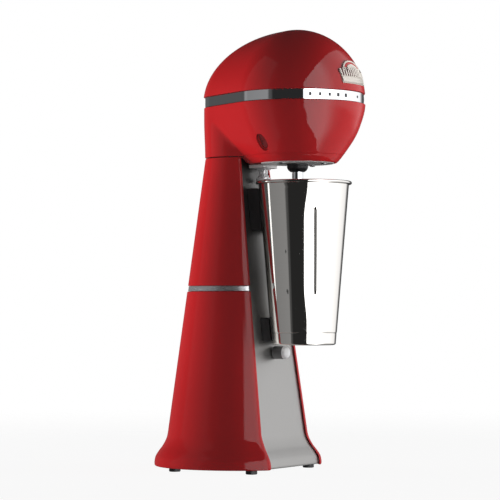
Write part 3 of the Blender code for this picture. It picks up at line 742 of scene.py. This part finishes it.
def build_cover():
    start = COVER_Z - EQUATOR_Z
    rim = [ring_of(lambda a: dome_reach(a, start, 2.4), COVER_Z)]
    for up, drop in ((0.0, 0.5), (0.15, 0.15), (0.5, 0.0)):
        rim.append(ring_of(lambda a, v=start + up, d=drop: dome_reach(a, v) - d, COVER_Z + up))
    lining, outside = dome_rings(18, start, SHELL), dome_rings(54, start)
    inner_pole, pole = [(0, BALL_Y + 2, TOP_Z - SHELL)], [(0, BALL_Y + 0.4, TOP_Z)]
    loops = [inner_pole] + lining[::-1] + rim + outside[1:] + [pole]
    piece("head_dome", "head_cover", *skin(loops), RED, angle=50)


def build_band():
    low, high = BAND_Z
    path = soften(marked([(4.6, low), (1.7, low), (1.7, high), (4.6, high)]), 0.7, closed=True)
    loops = [ring_of(lambda a, d=drop: hull_reach(a, BALL_R - d, NECK_R - d + 0.4, NECK_BACK), z)
             for drop, z in path]
    piece("chrome_band", "head_band", *skin(loops, closed=True), CHROME, angle=45)
    build_band_marks(BALL_R - 1.7, (low + high) / 2)


def build_band_marks(radius, middle_z):
    """A plain row of short bars round the front of the band, with one dot in the middle."""
    turned_by, pitch, side_count = radians(3.0), radians(8.7), 6
    verts, faces = [], []
    for step in range(-side_count, side_count + 1):
        if step in (-1, 1):
            continue
        high, wide, sides = (1.5, 1.5, 20) if step == 0 else (2.8, 2.3, 4)
        loops = []
        for r in (radius - 0.3, radius + 0.2):
            loop = []
            for i in range(sides):
                a = 2 * pi * (i + 0.5) / sides
                phi = pi - turned_by - step * pitch - wide * cos(a) / radius
                loop.append((r * sin(phi), BALL_Y + r * cos(phi), middle_z + high * sin(a)))
            loops.append(loop)
        first = len(verts)
        more, sheet = skin(loops, ends=True)
        verts += more
        faces += [tuple(first + v for v in face) for face in sheet]
    piece("band_marks", None, verts, faces, INK, smooth=False)


def on_dome(x, z, lift):
    """A point at height z on the front of the dome, x to the side, raised by `lift`."""
    r = dome_reach(pi, z - EQUATOR_Z)
    y = sqrt(max(r * r - x * x, 1.0))
    slope = (z - EQUATOR_Z) / (TOP_Z - EQUATOR_Z)
    out = Vector((x / BALL_R, -y / BALL_R, slope)).normalized()
    return Vector((x, BALL_Y - y, z)) + out * lift


# Height and half width of the badge.
BADGE = [
    (433.4, 23.4), (434.0, 24.0), (440.0, 24.2), (443.6, 24.2), (445.0, 25.6), (446.4, 25.9), (449.0, 25.2),
    (450.0, 19.6), (451.5, 18.8), (453.5, 17.6), (456.0, 15.0), (458.0, 11.8), (459.4, 8.0), (460.1, 4.0),
]
ARCH_Z = 448.0
ARCH_SQUASH = 1.62  # width of the arches against their height


def badge_half(z):
    for (z0, w0), (z1, w1) in zip(BADGE, BADGE[1:]):
        if z <= z1:
            return w0 + (w1 - w0) * (z - z0) / (z1 - z0)
    return BADGE[-1][1]


def badge_lift(x, z, half):
    """Relief of the casting: a rope arch, a plain one inside it, short flutes under them and a plain bar."""
    lift = 1.0
    arch = hypot(x, (z - ARCH_Z) * ARCH_SQUASH)
    if z > ARCH_Z - 0.5:
        rope = 0.8 + 0.2 * cos(atan2(z - ARCH_Z, x) * 44)
        lift += 1.2 * bell(arch - 18.2, 1.3) * rope + 0.7 * bell(arch - 12.2, 0.8)
    low, high = FLUTE_Z
    if low < z < high:
        window = smooth_step((z - low) / 0.7) * smooth_step((high - z) / 0.7)
        window *= smooth_step((24.5 - abs(x)) / 1.5)
        lift += 0.95 * window * (0.5 + 0.5 * cos(x * 2 * pi / FLUTE_PITCH))
    if z < low + 0.2:
        border = min(z - BADGE[0][0], low - z, half - abs(x))
        lift += 0.55 * bell(border - 0.9, 0.55)
    return 0.5 + (lift - 0.5) * smooth_step((half - abs(x)) / 0.8)


def build_badge():
    rows, columns = 90, 130
    low, high = BADGE[0][0], BADGE[-1][0]
    front, back = [], []
    for k in range(rows + 1):
        z = low + (high - low) * k / rows
        half = badge_half(z)
        soft = smooth_step(min(k, rows - k) / 3)
        places = [half * (2 * i / columns - 1) for i in range(columns + 1)]
        front.append([on_dome(x, z, 0.5 + (badge_lift(x, z, half) - 0.5) * soft) for x in places])
        back.append([on_dome(x, z, 0.35) for x in places])
    piece("arch_badge", "badge", *plate_of(front, back), CAST, angle=60)
    build_badge_enamel()


def build_badge_enamel():
    """Red enamel laid in the crescent between the two arches."""
    rows, columns = 6, 60
    verts = []
    for k in range(rows + 1):
        radius = 13.2 + 3.6 * k / rows
        for i in range(columns + 1):
            a = radians(14 + 152 * i / columns)
            z = max(ARCH_Z + radius * sin(a) / ARCH_SQUASH, FLUTE_Z[1])
            verts.append(on_dome(radius * cos(a), z, 1.45 if 0 < k < rows else 1.1))
    piece("badge_enamel", None, verts, grid_faces(rows + 1, columns + 1), RED, angle=60)


def build_head_plate():
    at = (0, BALL_Y, 0)
    profile = [
        (8.4, 349.9), (41.3, 349.9), (41.5, 349.2), (41.5, 347.8, 0.5), (40.4, 347.3), (38.6, 347.3, 0.1),
        (38.3, 347.5, 0.1), (37.7, 347.5, 0.1), (37.4, 347.3, 0.1), (8.4, 347.3),
    ]
    plate = lathe("under_plate", "head_base_plate", profile, at, PLATE, steps=160, radius=0.25)
    drill(plate, 0, CATCH_Y, CATCH_HOLE, 340, 360)
    for side in ("left", "right", "front"):
        x, y, _ = middle("plate_screw_" + side)
        drill(plate, x, y, 2.0, 340, 360)
    slab = rounded_slab(*corners("rear_tongue"), 4.0)
    tongue = piece("plunger_plate", "rear_tongue", *slab, PLATE, angle=40)
    drill(tongue, 0, CATCH_Y, CATCH_HOLE - 0.3, 330, 360)
    boot = [
        (6.9, 347.0, 0.1), (12.3, 347.0, 0.1), (12.3, 345.6), (11.9, 345.2, 0.3), (11.9, 344.6, 0.3),
        (12.1, 344.0, 0.5), (11.6, 341.8, 1.0), (10.2, 339.7, 1.0), (8.2, 338.2, 0.8), (6.9, 337.9, 0.3),
    ]
    lathe("spindle_boot", "shaft_boot", boot, at, RUBBER)


def rounded_slab(low, high, corner, soft=0.4):
    """Points and faces of a flat slab with round corners in plan and eased edges."""
    mid, half = (low + high) / 2, (high - low) / 2
    loops = []
    for z, tuck in ((low.z, soft), (low.z + soft * 0.3, soft * 0.3), (low.z + soft, 0), (high.z - soft, 0),
                    (high.z - soft * 0.3, soft * 0.3), (high.z, soft)):
        loop = []
        for cx, cy, first in ((1, 1, 0), (-1, 1, 90), (-1, -1, 180), (1, -1, 270)):
            for i in range(9):
                a = radians(first + 90 * i / 8)
                r = corner - tuck
                loop.append((mid.x + cx * (half.x - corner) + r * cos(a),
                             mid.y + cy * (half.y - corner) + r * sin(a), z))
        loops.append(loop)
    return skin(loops, ends=True)


# ---- switch


def oval_loop(depth, grow, squeeze=1.0, lift=None):
    """The switch's oval, `depth` out of the bowl's wall and `grow` larger all round."""
    across = Vector((0, 0, 1)).cross(SWITCH_OUT).normalized()
    turn = Matrix((across, SWITCH_OUT.cross(across), SWITCH_OUT)).transposed()
    loop = []
    for a in whole_turn(96):
        u = (SWITCH_SIZE[0] / 2 + grow) * squeeze * cos(a)
        v = (SWITCH_SIZE[1] / 2 + grow) * squeeze * sin(a)
        loop.append(SWITCH_AT + turn @ Vector((u, v, depth + (lift(u, v) if lift else 0.0))))
    return loop


def build_switch():
    rim = [
        (-12.8, -0.5), (-1.6, -0.5), (-0.9, -0.9), (-1.0, -1.5), (-2.0, -1.9), (-9.0, -1.9), (-12.8, -1.9),
    ]
    surround = [oval_loop(*point) for point in rim]
    piece("switch_surround", "switch_bezel", *skin(surround, closed=True), RED, angle=50)
    floor = [oval_loop(*point) for point in ((-9.2, -1.7), (-9.2, -5.0), (-11.0, -5.0), (-11.0, -1.7))]
    piece("switch_floor", None, *skin(floor, closed=True), BLACK, angle=30)

    def vee(u, v):
        return 1.5 * (abs(v) / 8.0) ** 1.5 - 0.25 * (u / 5.0) ** 2

    path = [
        (-8.0, 0.55), (-7.6, 0.62), (-5.2, 0.88), (-3.9, 0.96), (-2.9, 0.97), (-2.6, 0.94), (-2.45, 0.87),
        (-2.4, 0.75), (-2.4, 0.5), (-2.4, 0.25), (-2.4, 0.06),
    ]
    cap = [oval_loop(depth, -2.2, squeeze, vee if depth > -3.5 else None) for depth, squeeze in path]
    # The rocker wears the red darkened with painted shade of its recess.
    piece("rocker_cap", "switch_rocker", *skin(cap, ends=True), RECESS_SHADED_RED, "rocker", angle=50)


# ---- cup and catch

CUP_MID = middle("malt_cup")
CUP_BOTTOM, CUP_TOP = heights("malt_cup")
# Radius and height where the straight wall starts and ends.
WALL_FOOT, WALL_RIM = (37.3, 157.0), (51.0, 322.5)
FLUTE_AT = atan2(seen_at(17).y, seen_at(17).x)


def cup_wall(z):
    (r0, z0), (r1, z1) = WALL_FOOT, WALL_RIM
    return r0 + (z - z0) * (r1 - r0) / (z1 - z0)


def arc_between(a, at, r):
    """Distance round a radius from one angle to another, the shorter way."""
    return atan2(sin(a - at), cos(a - at)) * r


def cup_relief(a, z, r):
    """How far the two pressed flutes and the two small level marks move the wall."""
    move = 0.0
    for side in (0.0, pi):
        s = arc_between(a, FLUTE_AT + side - 0.00053 * (z - 203.0), r)
        along = smooth_step((z - 198.0) / 5.0) * smooth_step((297.0 - z) / 5.0)
        round_about = smooth_step((z - 166.0) / 45.0) * smooth_step((322.0 - z) / 42.0)
        move -= 2.1 * bell(s, 1.7) * along + 1.3 * bell(s, 11.0) * round_about
    s = arc_between(a, FLUTE_AT - radians(47), r)
    for mark_z in (247.0, 202.5):
        across = bell(z - mark_z, 0.7) * smooth_step((2.3 - abs(s)) / 0.7)
        down = bell(s - 1.7, 0.5) * smooth_step((1.9 - abs(z - mark_z + 1.2)) / 0.6)
        move += 0.42 * min(1.0, across + down)
    return move


def press(x, y, z):
    """The relief, on the straight wall only."""
    r, a = hypot(x, y), atan2(y, x)
    move = cup_relief(a, z, r) if 158 < z < 322 and r < 51.5 else 0.0
    return x + move * cos(a), y + move * sin(a), z


def cup_angles():
    """Once round the cup, closer together over the flutes."""
    steps, angles = 240, []
    for a in whole_turn(steps):
        parts = 4 if abs(sin(a - FLUTE_AT)) < 0.13 else 1
        angles += [a + 2 * pi / steps * k / parts for k in range(parts)]
    return angles


def build_cup():
    base = lifted(CUP_BOTTOM, [
        (0, 1.9), (27.0, 1.9), (30.0, 1.6), (31.2, 0.2, 0.6), (33.2, 0.0, 0.8), (36.0, 0.9, 1.9), (36.2, 4.2),
        (36.9, 13.2, 0.2), (36.55, 13.7, 0.2), (37.2, 14.2, 0.2), (37.3, 14.8),
    ])
    lining = lifted(CUP_BOTTOM, [
        (36.3, 14.0), (35.6, 7.0), (35.2, 1.9, 1.2), (33.0, 1.0), (31.4, 1.2), (30.4, 2.5), (27.0, 2.9),
        (0, 2.9),
    ])
    wall = [(cup_wall(z), z) for z in [158.5 + 2.0 * i for i in range(81)]]
    inner_wall = [(cup_wall(z) - 0.9, z) for z in [322.0 - 2.0 * i for i in range(82)]]
    bead_r, wire = 52.5, 1.9
    bead = [(bead_r + wire * cos(a), CUP_TOP - wire + wire * sin(a))
            for a in [radians(-140 + 330 * i / 26) for i in range(27)]]
    path = soften(marked(base), 1.2) + wall + [(51.1, 323.0)]
    path += bead + inner_wall + soften(marked(lining), 1.0, 3)
    loops = [[Vector((CUP_MID.x, CUP_MID.y, 0)) + Vector(p) for p in loop]
             for loop in turned(path, cup_angles(), press)]
    piece("steel_cup", "malt_cup", *skin(loops), CUP_STEEL, "cup", angle=60)


def build_catch():
    at = (0, CATCH_Y, 0)
    bush = [
        (5.5, 352.0, 0.1), (6.6, 352.0), (6.6, 343.3, 0.1), (8.2, 343.3, 0.1), (8.3, 342.6), (8.0, 341.9),
        (7.2, 341.4), (5.5, 341.4, 0.1),
    ]
    lathe("catch_bush", "plunger_guide", bush, at, COLLAR, radius=0.25)

    def slope(x, y, z):
        return x, y, z + 0.13 * (y + 2.0) * smooth_step((333.4 - z) / 2.0)

    collar = [
        (0, 331.1), (4.75, 331.1, 0.1), (4.75, 335.2, 0.1), (6.1, 335.3), (6.6, 334.8), (6.6, 334.0),
        (5.7, 333.5, 0.2), (5.7, 333.1, 0.2), (7.7, 332.7), (8.3, 332.0), (8.3, 329.8, 0.5),
        (7.4, 328.8, 0.5), (0, heights("rim_catch")[0] + 1.2),
    ]
    lathe("catch_collar", "rim_catch", collar, at, COLLAR, "plunger", radius=0.3, bend=slope)
    rod = [
        (0, 375.4), (1.6, 375.3, 0.6), (3.0, 374.0, 0.6), (3.0, 353.7), (5.2, 353.6), (5.2, 337.6),
        (4.9, 337.2, 0.15), (4.9, 336.6, 0.15), (5.2, 336.2), (5.2, 335.9), (4.4, 335.6), (4.4, 331.4, 0.1),
        (0, 331.4),
    ]
    lathe("catch_plunger", "plunger_rod", rod, at, COLLAR, "plunger", radius=0.25)


def build_spring():
    """The coil round the rod, its top under the bracket."""
    turns, radius, wire, steps, sides = 4.5, 4.6, 0.55, 144, 10
    foot, top = heights("plunger_spring")
    low, rise = foot + wire, top - foot - 2 * wire
    loops = []
    for i in range(steps + 1):
        t = i / steps
        a = 2 * pi * turns * t
        out = Vector((cos(a), sin(a), 0))
        along = Vector((-radius * sin(a), radius * cos(a), rise / (2 * pi * turns)))
        up = out.cross(along.normalized())
        centre = Vector((0, CATCH_Y, low + rise * t)) + out * radius
        loops.append([centre + (out * cos(b) + up * sin(b)) * wire for b in whole_turn(sides)])
    spring = piece("lift_spring", "plunger_spring", *skin(loops, ends=True), SPRING, None, angle=60)
    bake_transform(spring)


def build_spindle():
    at = (0, BALL_Y, 0)
    sleeve = [
        (0, 368.6), (5.7, 368.6), (6.2, 368.0), (6.2, 322.0), (5.9, 321.4, 0.2), (5.3, 320.2), (4.2, 319.4),
        (3.9, 317.0), (0, 317.0),
    ]
    lathe("spindle_barrel", "spindle_sleeve", sleeve, at, CHROME, "spindle", radius=0.3)
    shaft = [(0, 316.6), (3.1, 316.6), (3.3, 316.2), (3.3, 179.0), (3.1, 178.6), (0, 178.6)]
    lathe("stirring_shaft", "agitator_shaft", shaft, at, CHROME, "spindle", radius=0.2, steps=64)
    nut = [(0, 178.2), (4.4, 178.2, 0.2), (4.8, 177.6), (4.8, 175.6, 1.0), (3.4, 173.6, 0.8), (0, 173.0)]
    lathe("agitator_cap", "agitator_nut", nut, at, CHROME, "spindle", radius=0.3, steps=64)

    def wave(x, y, z):
        r, a = hypot(x, y), atan2(y, x)
        return x, y, z + 1.4 * sin(4 * a) * max(r - 8.0, 0) / 5.0

    disc = [
        (3.6, 185.0, 0.1), (8.0, 185.0, 1.5), (12.9, 183.6, 0.3), (12.9, 182.3, 0.3), (8.0, 183.5, 1.5),
        (3.6, 183.5, 0.1),
    ]
    lathe("agitator_wave", "agitator_disc", subdivided(disc), at, CHROME, "spindle", "polished_steel",
          radius=0.2, bend=wave)


def subdivided(profile):
    """Adds points along the long sides so that a bend follows smoothly."""
    result = []
    for p, q in zip(profile, profile[1:] + profile[:1]):
        result.append(p)
        steps = int(hypot(q[0] - p[0], q[1] - p[1]) // 1.2)
        for t in [i / steps for i in range(1, steps)]:
            result.append((p[0] + t * (q[0] - p[0]), p[1] + t * (q[1] - p[1]), 0.0))
    return result


# ---- small pieces of the stand


def build_pin():
    """The pin lies along -Y, so its profile runs along that axis."""
    (_, front, _), (_, back, _) = corners("cup_rest_pin")
    at, forward = (0, 0, middle("cup_rest_pin").z), (0, -1, 0)
    step, seat = front + 6.0, BALL_Y + 29.8
    barrel = [
        (0, -step), (6.9, -step, 0.1), (7.3, -step - 0.4), (7.3, -seat), (3.8, -seat, 0.1), (3.8, -back),
        (0, -back),
    ]
    lathe("rest_pin_barrel", "cup_rest_pin", barrel, at, GREY_NYLON, axis=forward, radius=0.3)
    tip = [
        (0, -front), (3.0, -front - 0.2, 1.5), (5.6, -front - 1.2, 1.5), (7.1, -front - 3.0, 1.2),
        (7.6, -front - 5.0, 0.8), (7.6, -step + 0.1), (0, -step + 0.1),
    ]
    lathe("rest_pin_tip", None, tip, at, PALE_TIP, axis=forward, radius=0.3)


def build_pads():
    soft = 1.6
    eased = ((0.0, 1.0), (0.2, 0.55), (0.7, 0.2), (soft, 0.0))
    for name, node, half in (("upper_pad", "cup_pad_upper", 21.0), ("lower_pad", "cup_pad_lower", 22.0)):
        low, high = heights(node)
        levels = [(low + up, tuck * soft) for up, tuck in eased]
        levels += [(high - down, tuck * soft) for down, tuck in eased[::-1]]
        loops = [pad_loop(z, half - tuck, 0.6 + tuck) for z, tuck in levels]
        piece(name, node, *skin(loops, ends=True), RUBBER)


def pad_loop(z, half, gap):
    """Plan of a pad: hollow in front to the cup's radius, flat against the panel."""
    back = column_at(z)[1] + 1.7
    radius = cup_wall(z) + gap
    points = []
    for i in range(41):
        x = half * (i / 20 - 1)
        points.append(((x, CUP_MID.y + sqrt(radius ** 2 - x * x), z), 1.4 if i in (0, 40) else 0.0))
    points += [((half, back, z), 0.4), ((-half, back, z), 0.4)]
    return soften(points, 1.4, closed=True)


def build_feet():
    profile = [
        (0, 12.0), (1.8, 11.4), (2.9, 9.2), (2.9, 8.6), (2.2, 8.5), (2.2, 4.9, 0.1), (6.2, 4.9, 0.3),
        (6.6, 0.9, 0.8), (5.9, 0.0, 0.5), (0, 0),
    ]
    for side in ("front_left", "front_right", "rear_left", "rear_right"):
        x, y, _ = middle("foot_" + side)
        lathe("pad_" + side, "foot_" + side, profile, (x, y, 0), RUBBER, radius=0.3, steps=56)


def build_screws():
    profile = [
        (0, 362.0), (1.6, 362.0), (1.6, 347.1, 0.1), (3.3, 347.0, 0.2), (3.2, 346.4, 0.4), (2.2, 345.8, 0.3),
        (0.9, 345.7, 0.1), (0.8, 346.3, 0.1), (0, 346.4),
    ]
    for side in ("left", "right", "front"):
        x, y, _ = middle("plate_screw_" + side)
        lathe("screw_" + side, "plate_screw_" + side, profile, (x, y, 0), ZINC, radius=0.2, steps=40)


def build_inlet():
    """A socket made lying down, then stood up to face the back, with two round contacts."""
    low, high = corners("power_inlet")
    verts, faces = rounded_slab(Vector((low.x, low.z, -high.y)), Vector((high.x, high.z, -low.y)), 4.5, 0.6)
    verts = [(x, -z, y) for x, y, z in verts]
    socket = piece("inlet_socket", "power_inlet", verts, faces, BLACK, angle=40)
    notch(socket, (-8.0, 101.0, 31.4), (8.0, 140.0, 40.6), 2.2)
    contact = [(0, -110.5), (1.0, -110.5), (1.15, -109.8), (1.15, -101.2), (0, -101.2)]
    z = (low.z + high.z) / 2
    for name, x in (("inlet_pin_1", -4.3), ("inlet_pin_2", 4.3)):
        lathe(name, None, contact, (x, 0, z), BRONZE, axis=(0, -1, 0), radius=0.3, steps=28)


# ---- carried-over nodes


def paint_nodes():
    """The inside pieces keep their solids and take a finished material each."""
    plan = {
        ZINC: ("base_plate", "column_spine", "neck_bolt_left", "neck_bolt_right", "motor_upper_bracket",
               "motor_lower_bracket", "motor_bolt_left", "motor_bolt_right", "plunger_bracket"),
        IRON: ("base_ballast",),
        BLACK: ("brush_holder_left", "brush_holder_right", "microswitch", "mains_lead"),
        NYLON: ("cooling_fan",),
        LAMINATED: ("stator_core", "armature"),
        COPPER: ("field_coil_front", "field_coil_rear", "commutator"),
        BRONZE: ("lower_bearing", "upper_bearing"),
        CARBON: ("carbon_brush_left", "carbon_brush_right"),
        SPRING: ("motor_shaft", "microswitch_lever"),
    }
    for mat, names in plan.items():
        for name in names:
            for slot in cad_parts[name].material_slots:
                slot.material = mat


# ---- light, floor and camera

FLOOR_HALF = 6.0
STAND_OFF = 2.511
EYE_HEIGHT = 0.1829
LIGHT_DISTANCE = 1.6


def window(n, value, low, high, soft):
    """1 between two limits, 0 outside, with eased ends."""
    return n.times(n.ramp(value, low - soft, low + soft), n.ramp(value, high + soft, high - soft))


def steps_of(n, value, stops):
    """A level that goes in straight lines from stop to stop along a value."""
    node = n.add("ShaderNodeValToRGB")
    node.color_ramp.interpolation = "LINEAR"
    first, last = stops[0][0], stops[-1][0]
    n.plug(n.ramp(value, first, last, smooth=False), node.inputs[0])
    peak = max(level for _, level in stops)
    marks = node.color_ramp.elements
    while len(marks) < len(stops):
        marks.new(0.5)
    for mark, (at, level) in zip(marks, stops):
        mark.position = (at - first) / (last - first)
        mark.color = (level / peak,) * 3 + (1,)
    return n.times(node.outputs[0], peak)


def side_panel(n, x, y, z, azimuth, towards, tall, stops):
    """An upright flat soft box facing the object from `towards`, with its levels along the azimuth."""
    a = radians(towards)
    ahead = n.plus(n.times(x, sin(a)), n.times(y, cos(a)))
    height = n.math("DIVIDE", z, n.math("MAXIMUM", ahead, 0.02))
    return n.times(steps_of(n, azimuth, stops), window(n, height, *tall, 0.03))


def build_world():
    """A studio: soft boxes for mirrored rays, a plain gradient for diffuse ones and white for the camera."""
    world = bpy.data.worlds.new("studio")
    bpy.context.scene.world = world
    world.use_nodes = True
    n = Nodes(world.node_tree)
    gx, gy, z = n.axes(n.add("ShaderNodeTexCoord").outputs["Generated"])
    x = n.plus(n.times(gx, RIGHT.x), n.times(gy, RIGHT.y))
    y = n.minus(n.times(gx, -AWAY.x), n.times(gy, AWAY.y))
    azimuth = n.math("DEGREES", n.math("ARCTAN2", x, y))

    slanted = n.minus(azimuth, n.ramp(z, -0.30, -0.85, 0.0, 16.0, smooth=False))
    right = side_panel(n, x, y, z, slanted, 84, (-1.62, 1.53), [
        (9.5, 0.0), (12.5, 3.9), (50.0, 3.9), (70.0, 2.0), (90.0, 1.60), (110.0, 1.45), (125.0, 1.30),
        (138.0, 1.15), (147.0, 0.30), (153.0, 0.08), (165.0, 0.05), (178.0, 0.05)])
    fade = n.times(n.ramp(azimuth, 50.0, 92.0), n.ramp(z, -0.10, -0.30))
    right = n.times(right, n.minus(1.0, n.times(fade, 0.62)))
    turned_left = n.minus(azimuth, n.ramp(z, -0.05, -0.15, 0.0, 5.0))
    left = side_panel(n, x, y, z, turned_left, -75, (-1.5, 1.5), [
        (-107.0, 0.0), (-103.0, 0.24), (-53.0, 0.28), (-50.0, 0.07), (-46.0, 0.06), (-43.0, 0.0)])
    rear = steps_of(n, azimuth, [
        (-178.0, 0.10), (-128.0, 0.10), (-122.0, 0.075), (-100.0, 0.065), (-96.0, 0.0)])
    rear = n.times(rear, n.ramp(z, 0.45, 0.15))
    glossy = n.plus(n.plus(right, left), n.plus(rear, 0.025))
    soft = steps_of(n, z, [(-1.0, 0.46), (-0.1, 0.36), (0.25, 0.24), (0.6, 0.10), (1.0, 0.07)])

    ray = n.add("ShaderNodeLightPath").outputs
    level = n.plus(n.times(glossy, ray["Is Glossy Ray"]), n.times(soft, ray["Is Diffuse Ray"]))
    level = n.plus(level, ray["Is Camera Ray"])
    tint = n.mix(ray["Is Camera Ray"], (0.985, 0.985, 1.0), (1.0, 1.0, 1.0))
    n.add("ShaderNodeOutputWorld", {0: n.add("ShaderNodeBackground", {0: tint, 1: level}).outputs[0]})


def area_light(name, direction, size, power, height):
    """A soft light that shapes the paint but is not itself mirrored. `direction` is as in seen_at."""
    data = bpy.data.lights.new(name, "AREA")
    data.shape = "RECTANGLE"
    data.size, data.size_y = size
    data.energy = power
    lamp = add_to_scene(name, data)
    lamp.location = seen_at(direction) * LIGHT_DISTANCE + Vector((0, 0, height))
    lamp.rotation_mode = "QUATERNION"
    lamp.rotation_quaternion = (lamp.location - Vector((0, 0, 0.25))).to_track_quat("Z", "Y")
    lamp.visible_glossy = False
    return lamp


def build_lights():
    area_light("left_fill", -107, (0.9, 0.8), 32.5, 0.06)
    area_light("right_fill", 90, (0.9, 1.0), 19.0, 0.20)
    streak = area_light("cup_streak", -100.3, (0.16, 1.8), 1.35, 0.2)
    streak.visible_glossy = True
    only = bpy.data.collections.new("lit_by_streak")
    only.objects.link(bpy.data.objects["steel_cup"])
    streak.light_linking.receiver_collection = only


def build_floor():
    """A pale floor that runs out into the white around it and is clear from below."""
    data = bpy.data.meshes.new("floor")
    edges = ((-1, -1), (1, -1), (1, 1), (-1, 1))
    data.from_pydata([(x * FLOOR_HALF, y * FLOOR_HALF, 0) for x, y in edges], [], [(0, 1, 2, 3)])
    obj = add_to_scene("floor", data)
    mat = bpy.data.materials.new("pale_floor")
    mat.use_nodes = True
    n = Nodes(mat.node_tree)
    matt = n.add("ShaderNodeBsdfDiffuse", {0: n.mix(n.noise(30.0, 4.0), (0.86,) * 3, (0.90,) * 3)}).outputs[0]
    glow = n.add("ShaderNodeEmission", {1: 1.0}).outputs[0]
    seen = n.times(n.add("ShaderNodeLightPath").outputs["Is Camera Ray"], 0.92)
    lit = n.add("ShaderNodeMixShader", {0: seen, 1: matt, 2: glow}).outputs[0]
    where = n.add("ShaderNodeTexCoord").outputs["Object"]
    distance = n.add("ShaderNodeVectorMath", {0: where}, operation="LENGTH").outputs["Value"]
    under = n.add("ShaderNodeNewGeometry").outputs["Backfacing"]
    gone = n.math("MAXIMUM", n.ramp(distance, 0.5, 1.6), under)
    clear = n.add("ShaderNodeBsdfTransparent").outputs[0]
    ends = n.add("ShaderNodeMixShader", {0: gone, 1: lit, 2: clear})
    n.add("ShaderNodeOutputMaterial", {0: ends.outputs[0]})
    data.materials.append(mat)
    obj.visible_glossy = False


def build_camera():
    data = bpy.data.cameras.new("camera")
    data.sensor_width = 36.0
    data.lens = 160.0
    data.clip_start, data.clip_end = 0.1, 50.0
    cam = add_to_scene("camera", data)
    cam.location = Vector((0, BALL_Y * MM, EYE_HEIGHT)) - AWAY * STAND_OFF
    yaw, pitch = radians(1.227), radians(1.528)
    aim = AWAY - RIGHT * tan(yaw) + Vector((0, 0, tan(pitch)))
    cam.rotation_mode = "QUATERNION"
    cam.rotation_quaternion = (-aim).to_track_quat("Z", "Y")
    bpy.context.scene.camera = cam


def main():
    build_column()
    build_lower_head()
    build_cover()
    build_band()
    build_badge()
    build_head_plate()
    build_switch()
    build_cup()
    build_catch()
    build_spring()
    build_spindle()
    build_pin()
    build_pads()
    build_feet()
    build_screws()
    build_inlet()
    paint_nodes()
    build_world()
    build_floor()
    build_lights()
    build_camera()
    bpy.context.scene.view_settings.view_transform = "Standard"


main()
